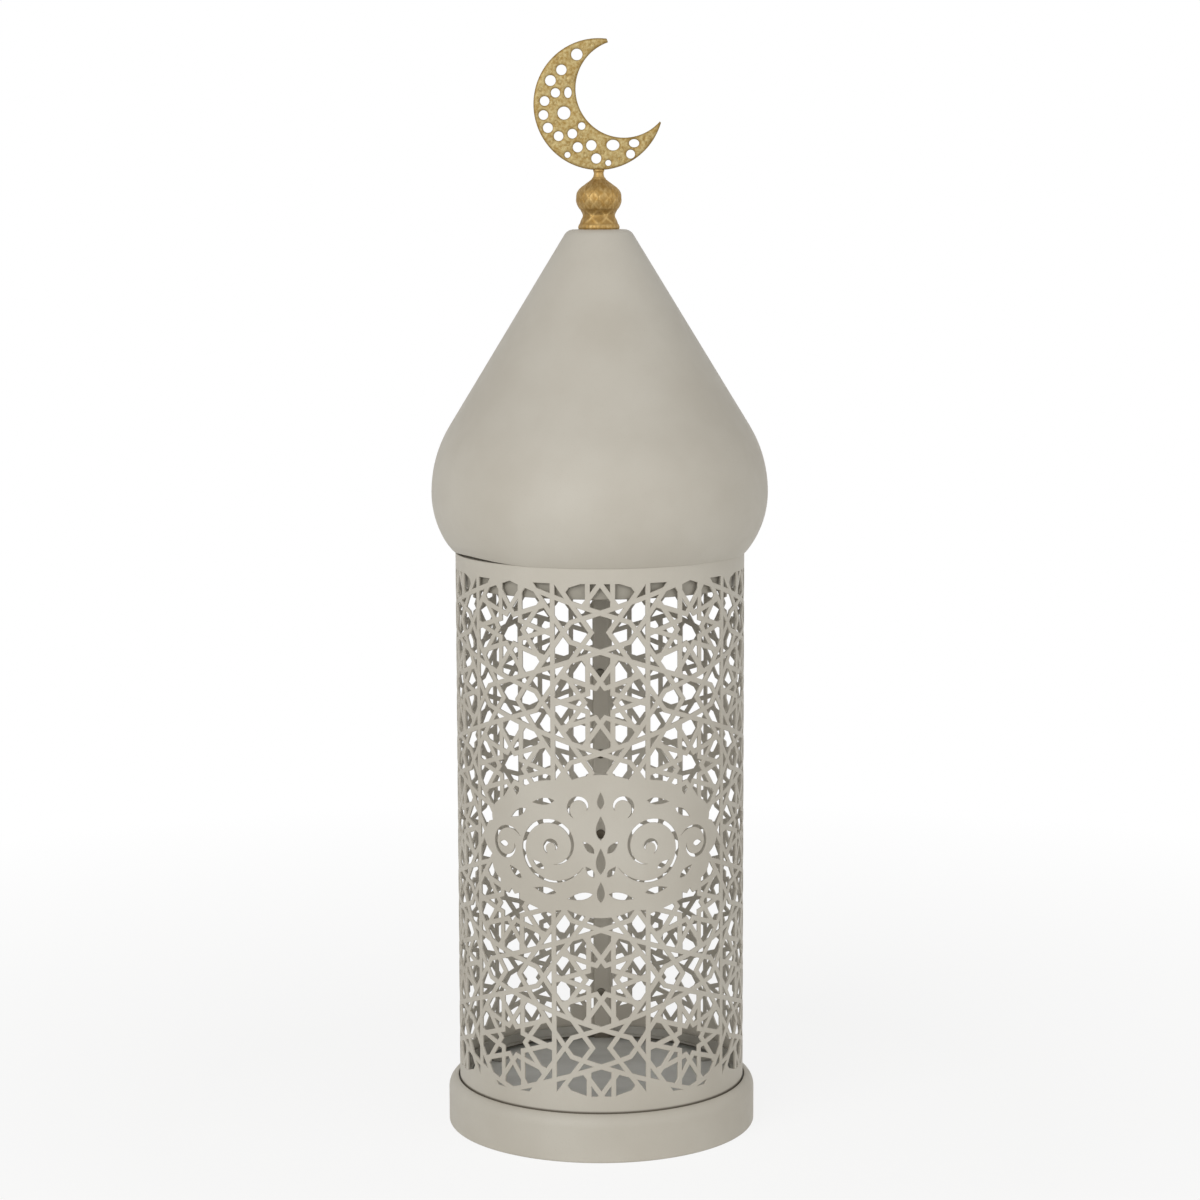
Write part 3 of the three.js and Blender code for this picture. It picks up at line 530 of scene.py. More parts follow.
def cut_up(rings: Sequence[Outline], lines: Sequence[tuple[Point, Point]] = (),
           loose: Sequence[Point] = ()) -> tuple[list[Vector], list[list[int]], list[set[int]]]:
    """Cuts overlapping outlines into triangles.

    Args:
        rings: closed outlines, known by their place in this list.
        lines: extra straight cuts, such as bend lines.
        loose: extra points that the triangles should use.

    Returns:
        The corners, the triangles as numbers of corners, and for each triangle the numbers
        of the rings round it.
    """
    points: list[Vector] = []
    faces = []
    for ring in rings:
        faces.append(list(range(len(points), len(points) + len(ring))))
        points += [Vector(p) for p in ring]
    edges = []
    for line in lines:
        edges.append((len(points), len(points) + 1))
        points += [Vector(p) for p in line]
    points += [Vector(p) for p in loose]
    verts, _, tris, _, _, owners = delaunay_2d_cdt(points, edges, faces, 0, CUT_WELD)
    return verts, tris, [set(owner) for owner in owners]


def face_with_holes(rings: Sequence[Outline], lines: Sequence[tuple[Point, Point]],
                    loose: Sequence[Point],
                    is_metal: Callable[[set[int]], bool]) -> bmesh.types.BMesh:
    """Makes a flat face out of overlapping outlines.

    Args:
        rings: closed outlines, known by their place in this list.
        lines: extra straight cuts, such as bend lines.
        loose: extra points that the face's triangles should use.
        is_metal: tells from the numbers of the rings round a triangle whether it stays.

    Returns:
        The face in the XY plane, in millimetres.
    """
    verts, tris, owners = cut_up(rings, lines, loose)
    bm = bmesh.new()
    made = [bm.verts.new((v.x, v.y, 0)) for v in verts]
    for tri, owner in zip(tris, owners):
        if is_metal(owner):
            bm.faces.new([made[i] for i in tri])
    bmesh.ops.delete(bm, geom=[v for v in bm.verts if not v.link_faces], context="VERTS")
    return bm


def thicken(bm: bmesh.types.BMesh, depth: float, edge: float, rounds: int = 1) -> None:
    """Gives a flat face its thickness, with an eased edge round every outline.

    The face lies at z = 0 and the sheet grows to z = -depth. Outlines are widened by the
    edge at half depth, so the face itself is drawn narrower by that much.

    Args:
        bm: the flat face, in millimetres.
        depth: thickness of the sheet.
        edge: size of the eased edge.
        rounds: steps in each eased edge.
    """
    folded = 0.3  # two sides whose normals add up to less fold back, and have no mitre
    mitre = bm.verts.layers.float_vector.new("mitre")
    for vert in bm.verts:
        rims = [e for e in vert.link_edges if e.is_boundary]
        if len(rims) != 2:
            continue
        normals = []
        for rim in rims:
            along = (rim.verts[1].co - rim.verts[0].co).normalized()
            out = along.cross(Vector((0, 0, 1)))
            inside = rim.link_faces[0].calc_center_median() - rim.verts[0].co
            normals.append(-out if out.dot(inside) > 0 else out)
        both = normals[0] + normals[1]
        if both.length > folded:
            vert[mitre] = both * (2 / both.length_squared)
    turns = [math.radians(90 * i / rounds) for i in range(1, rounds + 1)]
    eased = [(edge * math.sin(turn), edge * (1 - math.cos(turn))) for turn in turns]
    steps = [*eased, (edge, depth - edge)]
    steps += [(out, depth - deep) for out, deep in reversed(eased[:-1])] + [(0.0, depth)]
    cap = bm.faces[:]
    last_out, last_deep = 0.0, 0.0
    for number, (out, deep) in enumerate(steps):
        grown = bmesh.ops.extrude_face_region(bm, geom=cap, use_keep_orig=number == 0)["geom"]
        cap = [g for g in grown if isinstance(g, bmesh.types.BMFace)]
        for vert in (g for g in grown if isinstance(g, bmesh.types.BMVert)):
            vert.co += vert[mitre] * (out - last_out) - Vector((0, 0, deep - last_deep))
        last_out, last_deep = out, deep
    bmesh.ops.recalc_face_normals(bm, faces=bm.faces)


def shade(bm: bmesh.types.BMesh, angle: float) -> None:
    """Shades a mesh smooth except over its sharp edges.

    Args:
        bm: the mesh.
        angle: the sharpest edge that is shaded smooth, in degrees.
    """
    for face in bm.faces:
        face.smooth = True
    limit = math.radians(angle)
    for edge in bm.edges:
        edge.smooth = len(edge.link_faces) == 2 and edge.calc_face_angle(0) < limit


def add_object(name: str, data: bpy.types.ID) -> bpy.types.Object:
    """Adds an object to the scene.

    Args:
        name: the object's name.
        data: its mesh, camera or light.

    Returns:
        The new object.
    """
    made = bpy.data.objects.new(name, data)
    bpy.context.scene.collection.objects.link(made)
    return made


def mesh_object(bm: bmesh.types.BMesh, name: str) -> bpy.types.Object:
    """Turns a mesh into an object of the scene.

    Args:
        bm: the mesh, in metres, which is freed.
        name: the object's name, and its mesh's.

    Returns:
        The new object.
    """
    mesh = bpy.data.meshes.new(name)
    bm.to_mesh(mesh)
    bm.free()
    return add_object(name, mesh)


def finish_piece(bm: bmesh.types.BMesh, name: str, finish: Finish, slot: Slot, body: Body,
                 nodes: Iterable[str], angle: float = SHARP_ANGLE) -> None:
    """Turns a mesh into a dressed piece that rides on its body.

    Args:
        bm: the mesh, in metres.
        name: the piece's name.
        finish: what it is finished in.
        slot: the record's slot for that finish; not used.
        body: the body that it moves with.
        nodes: the solids that it stands for.
        angle: the sharpest edge that is shaded smooth, in degrees.
    """
    shade(bm, angle)
    piece = mesh_object(bm, name)
    piece.data.materials.append(finish.material())
    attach(piece, body.value)
    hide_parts(*nodes)
    log.info("%s: %d faces", name, len(piece.data.polygons))


def soften(node: str, finish: Finish, slot: Slot, edge: float) -> None:
    """Replaces a small solid with a copy that has eased edges.

    Args:
        node: the solid's name.
        finish: what the piece is finished in.
        slot: the record's slot for that finish.
        edge: width of the eased edges, in millimetres.
    """
    solid = frame["nodes"][node]
    bm = bmesh.new()
    bm.from_mesh(solid.data)
    bmesh.ops.remove_doubles(bm, verts=bm.verts, dist=SOLID_WELD)
    bmesh.ops.dissolve_limit(bm, angle_limit=math.radians(FLAT_ANGLE), verts=bm.verts,
                             edges=bm.edges)
    limit = math.radians(EASED_ANGLE)
    sharp = [e for e in bm.edges if len(e.link_faces) == 2 and e.calc_face_angle(0) > limit]
    bmesh.ops.bevel(bm, geom=sharp, offset=edge * MM, offset_type="OFFSET", segments=2,
                    profile=0.5, affect="EDGES", clamp_overlap=True, material=-1)
    finish_piece(bm, f"{node}_eased", finish, slot, Body(solid["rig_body"]), [node], SMALL_ANGLE)


# The lantern's sub-assemblies


@dataclass
class DrumBase:
    """Pressed drum that the lantern stands on, its floor and what holds the tube down."""

    sheet: float = 1.2
    mouth_gap: float = 0.8
    mouth_round: float = 0.3
    mouth_step: float = 0.25
    shoulder_h: float = 7.0
    shoulder_turn: float = 84.0
    lip: float = 9.0
    edge_radius: float = 1.2
    pan_round: float = 1.6
    pan_bend: float = 1.0
    steps: int = 192

    def build(self) -> None:
        """Builds the drum, the floor and their fastenings."""
        self.drum()
        self.floor()
        for node in frame["nodes"]:
            if node.startswith(("tube_lug", "foot_ring")):
                # the lugs and foot ring take the darker steel, which paints their shade inside the
                # tube's foot
                soften(node, DARK_STEEL, Slot.STEEL, STRIP_EASE)
            elif node.startswith(("lug_screw", "lug_nut")):
                soften(node, ZINC, Slot.ZINC, FASTENER_EASE)

    def drum(self) -> None:
        """Builds the drum's wall, rounded shoulder and inward lip."""
        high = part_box("base_drum")[1]
        radius, top = high.x / MM, high.z / MM
        mouth = tube_radius() + self.mouth_gap
        shoulder_w, shoulder_z = radius - mouth, top - self.shoulder_h
        r, t, turn, m = self.edge_radius, self.sheet, self.shoulder_turn, self.mouth_round
        profile = [
            *arc(radius - r, r, r, r, -90, 0, 6),
            *arc(mouth, shoulder_z, shoulder_w, self.shoulder_h, 0, turn, 14),
            *arc(mouth + self.mouth_step, top - m, m, m, turn, 180, 4),
            *arc(mouth, shoulder_z, shoulder_w - t, self.shoulder_h - t, 90, 0, 10),
            (radius - t, t), (radius - self.lip, t), (radius - self.lip, 0),
        ]
        finish_piece(turned(profile, self.steps), "drum_shell", PAINT, Slot.PAINT, Body.LANTERN,
                     ["base_drum"])

    def floor(self) -> None:
        """Builds the candle floor with its turned-down skirt."""
        low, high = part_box("floor_pan")
        radius, foot, top = high.x / MM, low.z / MM, high.z / MM
        r, t, b = self.pan_round, self.sheet, self.pan_bend
        profile = [
            (0, top), (radius * 0.5, top), (radius - r, top),
            *arc(radius - r, top - r, r, r, 80, 0, 5),
            (radius, foot), (radius - t, foot),
            (radius - t, top - t - b), (radius - t - b, top - t), (0, top - t),
        ]
        finish_piece(turned(profile, self.steps, closed=False), "candle_floor_pan", STEEL,
                     Slot.STEEL, Body.LANTERN, ["floor_pan"])


@dataclass
class StarLattice:
    """The tube: a ten-fold star lattice cut in one sheet, rolled and lapped at the back.

    The bars' middle lines lie at angles that are multiples of 18 degrees, as in any
    ten-fold pattern. The flat sheet's x runs round the tube from the middle of the front.
    """

    sheet: float = 1.2
    fit: float = 0.3
    bottom_band: float = 9.2
    top_band: float = 8.1
    base_height: float = 26.0
    lap: float = 8.0
    joggle: float = 2.4
    joggle_steps: int = 4
    pitch: float = 52.0
    rise: float = 74.2
    star_offset: float = 6.72
    bar: float = 2.7
    eased: float = 0.22
    smallest_cut: float = 9.0
    facets: int = 96
    plaque_half_w: float = 73.0
    plaque_half_h: float = 39.0
    plaque_rise: float = 147.4
    lobes: int = 12
    lobe_steps: int = 12
    scallop: float = 0.07
    slot: float = 2.6
    slot_end: float = 0.22
    slot_swell: float = 0.6
    leaf_swell: float = 0.8
    leaf_steps: int = 8
    rivet_head: float = 1.1
    radius: float = field(init=False)
    foot: float = field(init=False)
    top: float = field(init=False)
    window_low: float = field(init=False)
    window_high: float = field(init=False)
    seam: float = field(init=False)
    step_up: float = field(init=False)
    apothem: float = field(init=False)
    ring: float = field(init=False)

    def __post_init__(self) -> None:
        """Takes the tube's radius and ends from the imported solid, and what follows."""
        low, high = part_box("lattice_tube")
        self.radius = high.x / MM
        self.foot, self.top = low.z / MM, high.z / MM
        self.window_low = self.base_height + self.bottom_band
        self.window_high = self.top - self.top_band
        self.seam = math.pi * self.radius
        self.step_up = self.pitch * math.tan(math.radians(36))
        self.apothem = self.pitch / (2 * math.cos(math.radians(36)))
        self.ring = self.pitch / 2

    @staticmethod
    def on_bar(distance: float, direction: float, away: float) -> Point:
        """Returns the point at a direction on a bar that passes the centre at a distance."""
        return polar(distance / math.cos(math.radians(away)), direction)

    def star_openings(self) -> list[Outline]:
        """Draws the openings of one star, out to the ring round it.

        Returns:
            The star's eye, its kites and houses, and the slivers at its ring.
        """
        s, on_bar = self.star_offset, self.on_bar
        eye = [p for k in range(10) for p in (on_bar(s, 36 * k, 36), on_bar(s, 36 * k + 18, 54))]
        kite = [on_bar(s, 0, 36), on_bar(s, -18, 54), on_bar(s, 0, 72), on_bar(s, 18, 54)]
        eaves = (self.ring - s * math.sin(math.radians(18))) / math.cos(math.radians(18))
        corner = on_bar(s, 0, 72)[0] * math.cos(math.radians(18))
        house = [on_bar(s, 0, 54), (corner, -s), (eaves, -s), on_bar(self.ring, 0, 18),
                 (eaves, s), (corner, s)]
        ring_x = on_bar(self.ring, 18, 18)[0]
        drop = ring_x * math.tan(math.radians(18))
        sliver = [(ring_x, -drop), on_bar(self.ring, 0, 36), (ring_x, drop)]
        found = [eye]
        for k in range(10):
            found += [turned_round(kite, 36 * k), turned_round(house, 36 * k + 18),
                      turned_round(sliver, 36 * k)]
        return found

    def tie_openings(self) -> list[Outline]:
        """Draws the openings between two stars that stand one above the other.

        Returns:
            The waisted tie, with the hexagons and shields on both sides of it.
        """
        slope = math.tan(math.radians(54))
        fall = math.tan(math.radians(18))
        cross_x, drop = polar(self.apothem, 72)
        cross_y = self.step_up - drop
        waist = cross_x - cross_y / slope
        end_x = self.pitch - self.apothem
        bend_x = (slope * end_x - cross_y - fall * cross_x) / (slope - fall)
        bend_y = slope * (end_x - bend_x)
        roof = cross_y + cross_x * fall
        tie = [(waist, 0), (cross_x, cross_y), (0, roof), (-cross_x, cross_y),
               (-waist, 0), (-cross_x, -cross_y), (0, -roof), (cross_x, -cross_y)]
        hexagon = [(waist, 0), (cross_x, -cross_y), (bend_x, -bend_y), (end_x, 0),
                   (bend_x, bend_y), (cross_x, cross_y)]
        ring_x, ring_drop = self.on_bar(self.ring, 54, 18)
        side_x, side_y = self.on_bar(self.ring, 18, 18)
        shield = [(cross_x, cross_y), (bend_x, bend_y), (end_x, 0), (self.pitch - side_x, side_y),
                  (self.ring, self.step_up - self.apothem * math.sin(math.radians(36))),
                  (ring_x, self.step_up - ring_drop)]
        found = [tie]
        for side in (1, -1):
            found.append(mirrored(hexagon, side, 1))
            found += [mirrored(shield, side, end) for end in (1, -1)]
        return found

    def openings(self) -> list[Outline]:
        """Repeats the stars and ties over the sheet and takes the bars off their openings.

        Returns:
            Every opening that meets the window of the sheet.
        """
        stars = [inset(o, self.bar / 2 - self.eased) for o in self.star_openings()]
        ties = [inset(o, self.bar / 2 - self.eased) for o in self.tie_openings()]
        columns = math.ceil(self.seam / self.pitch) + 1
        rows = math.ceil((self.top - self.base_height) / (2 * self.step_up)) + 1
        found = []
        for i in range(-columns, columns + 1):
            for j in range(-1, rows + 1):
                x = i * self.pitch
                y = self.base_height + self.rise + (2 * j + i % 2) * self.step_up
                found += [moved(o, x, y) for o in stars]
                found += [moved(o, x, y + self.step_up) for o in ties]
        low, high = self.window_low, self.window_high
        return [o for o in found if any(abs(x) < self.seam and low < y < high for x, y in o)]

    def plaque(self) -> Outline:
        """Draws the scalloped edge of the cartouche.

        Returns:
            Its outline, in its place on the sheet.
        """
        steps = self.lobes * self.lobe_steps
        points = []
        for i in range(steps):
            angle = 2 * math.pi * i / steps
            lobe = 1 - self.scallop * (1 - abs(math.cos(self.lobes / 2 * angle)))
            points.append((self.plaque_half_w * lobe * math.cos(angle),
                           self.plaque_half_h * lobe * math.sin(angle)))
        return moved(points, 0, self.base_height + self.plaque_rise)

    def scroll(self, cx: float, cy: float, r0: float, r1: float, start: float, end: float,
               steps: int) -> Outline:
        """Draws a slot along a spiral that tapers to both ends.

        Args:
            cx: the spiral's centre, across.
            cy: the spiral's centre, up.
            r0: its first radius.
            r1: its last radius.
            start: its first angle, in degrees.
            end: its last angle, in degrees.
            steps: how many pieces each side of the slot has.

        Returns:
            The slot's outline.
        """
        outer, inner = [], []
        for i in range(steps + 1):
            t = i / steps
            half = self.slot / 2 * max(self.slot_end, math.sin(math.pi * t) ** self.slot_swell)
            c, s = polar(1, start + (end - start) * t)
            r = r0 + (r1 - r0) * t
            outer.append((cx + (r + half) * c, cy + (r + half) * s))
            inner.append((cx + (r - half) * c, cy + (r - half) * s))
        return outer + inner[::-1] if end > start else inner + outer[::-1]

    def leaf(self, x: float, y: float, length: float, width: float, direction: float) -> Outline:
        """Draws a pointed leaf.

        Args:
            x: its foot, across.
            y: its foot, up.
            length: from foot to tip.
            width: at its widest.
            direction: the way that its tip points, in degrees.

        Returns:
            The leaf's outline.
        """
        shares = [i / self.leaf_steps for i in range(1, self.leaf_steps)]
        left = [(length * i / self.leaf_steps,
                 width / 2 * math.sin(math.pi * share ** self.leaf_swell))
                for i, share in enumerate(shares, 1)]
        right = [(along, -across) for along, across in left]
        outline = [(0, 0), *right, (length, 0), *left[::-1]]
        return moved(turned_round(outline, direction), x, y)

    def arabesque(self) -> list[Outline]:
        """Draws a palmette between mirrored scrolls and leaves, to fill the cartouche.

        Returns:
            The cartouche's slots.
        """
        middle = [
            self.leaf(0, -31, 12, 4.6, 90),
            self.leaf(0, -15.5, 15, 5.6, 90),
            self.leaf(0, 3, 14, 5.6, 90),
            self.leaf(0, 20, 10, 4.2, 90),
        ]
        half = [
            self.scroll(27, -1, 20.5, 9.5, -150, 262, 44),
            self.scroll(27, -1, 4.4, 2.6, -60, 215, 14),
            self.scroll(55, -2, 10.5, 5.2, 150, -190, 26),
            self.scroll(11.5, 21, 6.5, 4.2, -60, 200, 16),
            self.leaf(4, -26, 15, 4.4, -12),
            self.leaf(24, -26, 14, 4.2, 8),
            self.leaf(45, -20, 11, 4.0, 38),
            self.leaf(25, 24.5, 14, 4.2, -8),
            self.leaf(42, 19, 12, 4.0, -30),
            self.leaf(54, -2, 7, 3.8, 0),
            self.leaf(31, -13.5, 9, 3.6, 32),
            self.leaf(3.4, -4, 9.5, 4.0, 48),
            self.leaf(3.4, -17, 8.0, 3.8, 52),
        ]
        found = middle
        for outline in half:
            found += [outline, mirrored(outline, -1, 1)]
        return [moved(o, 0, self.base_height + self.plaque_rise) for o in found]

    def joggle_end(self) -> float:
        """Returns where the inner edge of the lap has stepped fully inwards."""
        return self.seam - self.lap / 2 - self.fit

    def bend_lines(self) -> list[float]:
        """Lists where the sheet is bent, along its length.

        Returns:
            The places of the facets' edges and of the joggle's own bends.
        """
        span = 2 * self.seam / self.facets
        lines = [-self.seam + span * i for i in range(self.facets + 1)]
        end = self.joggle_end()
        bends = range(self.joggle_steps + 1)
        return lines + [end - self.joggle * i / self.joggle_steps for i in bends]

    def flat_sheet(self) -> bmesh.types.BMesh:
        """Cuts the flat sheet.

        Returns:
            Its face, in millimetres.
        """
        low, high = self.window_low, self.window_high
        left, right = -self.seam + self.lap / 2 + self.fit, self.joggle_end() - self.joggle
        edge = self.seam + self.lap / 2
        sheet = [(-edge, self.foot), (edge, self.foot), (edge, self.top), (-edge, self.top)]
        window = [(left, low), (right, low), (right, high), (left, high)]
        lattice = [sheet, window, self.plaque(), *self.openings()]
        rings = lattice + self.arabesque()
        slots = set(range(len(lattice), len(rings)))
        cuts = set(range(Ring.FIRST_OPENING, len(lattice))) - self.slivers(lattice)

        def is_metal(owners: set[int]) -> bool:
            """Tells whether the sheet stays where these outlines overlap."""
            pierced = Ring.WINDOW in owners and Ring.PLAQUE not in owners
            return Ring.SHEET in owners and not owners & slots and not (pierced and owners & cuts)

        lines = [((x, self.foot), (x, self.top)) for x in self.bend_lines()]
        return face_with_holes(rings, lines, [], is_metal)

    def slivers(self, lattice: list[Outline]) -> set[int]:
        """Finds the openings of which only a sliver is left beside a band or the cartouche.

        Args:
            lattice: the outlines of the sheet, window, cartouche and openings.

        Returns:
            The numbers of those openings.
        """
        area = {n: 0.0 for n in range(Ring.FIRST_OPENING, len(lattice))}
        verts, tris, owners = cut_up(lattice)
        for tri, owner in zip(tris, owners):
            if Ring.WINDOW not in owner or Ring.PLAQUE in owner:
                continue
            a, b, c = (verts[i] for i in tri)
            size = abs((b - a).cross(c - a)) / 2
            for n in owner:
                if n >= Ring.FIRST_OPENING:
                    area[n] += size
        return {n for n, size in area.items() if size < self.smallest_cut}

    def build(self) -> None:
        """Cuts, thickens and rolls the sheet, and sets its rivets."""
        bm = self.flat_sheet()
        thicken(bm, self.sheet, self.eased)
        end = self.joggle_end()
        for vert in bm.verts:
            along, height, depth = vert.co
            inward = (self.sheet + self.fit) * ease((along - end + self.joggle) / self.joggle)
            r = self.radius + depth - inward
            bearing = along / self.radius
            vert.co = Vector((r * math.sin(bearing), -r * math.cos(bearing), height)) * MM
        bmesh.ops.recalc_face_normals(bm, faces=bm.faces)
        finish_piece(bm, "star_lattice", TUBE_PAINT, Slot.PAINT, Body.LANTERN, ["lattice_tube"])
        for node in sorted(n for n in frame["nodes"] if n.startswith("seam_rivet")):
            self.rivet(node)

    def rivet(self, node: str) -> None:
        """Builds one seam rivet, with a domed head outside and inside.

        Args:
            node: the solid that it stands for.
        """
        low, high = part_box(node)
        radius = (high.x - low.x) / 2 / MM
        length = (high.y - low.y) / MM
        head = self.rivet_head
        profile = [(0, 0), *arc(0, head, radius, head, -80, 0, 7), (radius * 0.5, head),
                   (radius * 0.5, length - head), *arc(0, length - head, radius, head, 0, 80, 7),
                   (0, length)]
        bm = turned(profile, 24, closed=False)
        lie_down = Matrix.Rotation(math.radians(-90), 3, "X")
        bmesh.ops.rotate(bm, verts=bm.verts, cent=(0, 0, 0), matrix=lie_down)
        place = ((low.x + high.x) / 2, low.y, (low.z + high.z) / 2)
        bmesh.ops.translate(bm, verts=bm.verts, vec=place)
        finish_piece(bm, f"{node}_domed", DULL_STEEL, Slot.STEEL, Body.LANTERN, [node],
                     SMALL_ANGLE)


@dataclass
class OnionDome:
    """The lid: a spun dome with an inward flange, and the collar riveted under it."""

    wall: float = 1.2
    rim_over: float = 0.7
    rim_flat: float = 0.45
    rim_corner: Point = (0.12, 0.08)
    bulge_rise: float = 33.3
    top_arc: float = 70.3
    crown_flat: float = 13.8
    crown_fillet: float = 6.0
    flange: float = 11.0
    rim_lift: float = 1.9
    rim_lift_bearing: float = -62.0
    rim_lift_spread: float = 36.0
    rim_lift_height: float = 7.0
    rim_lift_radius: float = 60.0
    stud_hole: float = 2.8
    collar_sheet: float = 1.0
    collar_bend: float = 0.6
    steps: int = 216

    def flange_in(self) -> float:
        """Returns the radius of the hole in the dome's flange and the collar's."""
        return tube_radius() + self.rim_over - self.flange

    def section(self, depth: float) -> Outline:
        """Draws the dome's section: two arcs, a straight cone and the crown's fillet.

        Args:
            depth: how far it is moved inwards.

        Returns:
            The points from the rim up to the crown.
        """
        low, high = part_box("dome")
        rim, top, bulge = low.z / MM, high.z / MM, high.x / MM
        bulge_z = rim + self.bulge_rise
        drop = bulge - tube_radius() - self.rim_over
        low_arc = (self.bulge_rise ** 2 + drop ** 2) / (2 * drop)
        start = -math.degrees(math.asin((self.bulge_rise - depth) / (low_arc - depth)))
        centre = bulge - self.top_arc
        fillet_z = top - self.crown_fillet
        across, up = self.crown_flat - centre, fillet_z - bulge_z
        lean = math.acos((self.top_arc - self.crown_fillet) / math.hypot(across, up))
        cone = math.degrees(math.atan2(up, across) - lean)
        r_low, r_top, r_crown = low_arc - depth, self.top_arc - depth, self.crown_fillet - depth
        lower = arc(bulge - low_arc, bulge_z, r_low, r_low, start, 0, 18)
        upper = arc(centre, bulge_z, r_top, r_top, 0, cone, 14)
        crown = arc(self.crown_flat, fillet_z, r_crown, r_crown, cone, 90, 8)
        (r0, z0), (r1, z1) = upper[-1], crown[0]
        straight = [(r0 + (r1 - r0) * i / 12, z0 + (z1 - z0) * i / 12) for i in range(1, 12)]
        return [*lower, *upper[1:], *straight, *crown]

    def build(self) -> None:
        """Builds the dome, its collar and the collar's rivets."""
        low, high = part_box("dome")
        rim, top = low.z / MM, high.z / MM
        outside = self.section(0)
        outside[0] = (outside[0][0] - self.rim_corner[0], outside[0][1] + self.rim_corner[1])
        profile = [(self.flange_in(), rim), (outside[0][0] - self.rim_flat, rim), *outside,
                   (self.stud_hole, top), (self.stud_hole, top - self.wall),
                   *self.section(self.wall)[::-1], (self.flange_in(), rim + self.wall)]
        bm = turned(profile, self.steps)
        self.lift_rim(bm, rim)
        finish_piece(bm, "onion_dome", PAINT, Slot.PAINT, Body.LID, ["dome"])
        self.collar()

    def lift_rim(self, bm: bmesh.types.BMesh, rim: float) -> None:
        """Bends the rim up a little where it doesn't quite meet the tube.

        Args:
            bm: the dome's mesh, in metres.
            rim: the height of the rim, in millimetres.
        """
        for vert in bm.verts:
            above = vert.co.z / MM - rim
            if above > self.rim_lift_height or vert.co.xy.length < self.rim_lift_radius * MM:
                continue
            bearing = math.degrees(math.atan2(vert.co.x, -vert.co.y))
            near = ease(1 - abs(bearing - self.rim_lift_bearing) / self.rim_lift_spread)
            vert.co.z += self.rim_lift * near * (1 - above / self.rim_lift_height) * MM

    def collar(self) -> None:
        """Builds the collar that centres the lid in the tube, and its rivets."""
        low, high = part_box("lid_collar")
        radius, foot, top = high.x / MM, low.z / MM, high.z / MM
        t, b = self.collar_sheet, self.collar_bend
        profile = [
            *arc(radius - t / 2, foot + t / 2, t / 2, t / 2, -180, 0, 8),
            *arc(radius - t, top - t, t, t, 0, 90, 5),
            (self.flange_in(), top), (self.flange_in(), top - t),
            (radius - t - b, top - t), (radius - t, top - t - b),
        ]
        # the collar takes the darker coat, which paints its shade inside the lid
        finish_piece(turned(profile, self.steps), "centring_collar", THIN_PAINT, Slot.PAINT,
                     Body.LID, ["lid_collar"])
        for node in sorted(n for n in frame["nodes"] if n.startswith("collar_rivet")):
            soften(node, STEEL, Slot.STEEL, FASTENER_EASE)


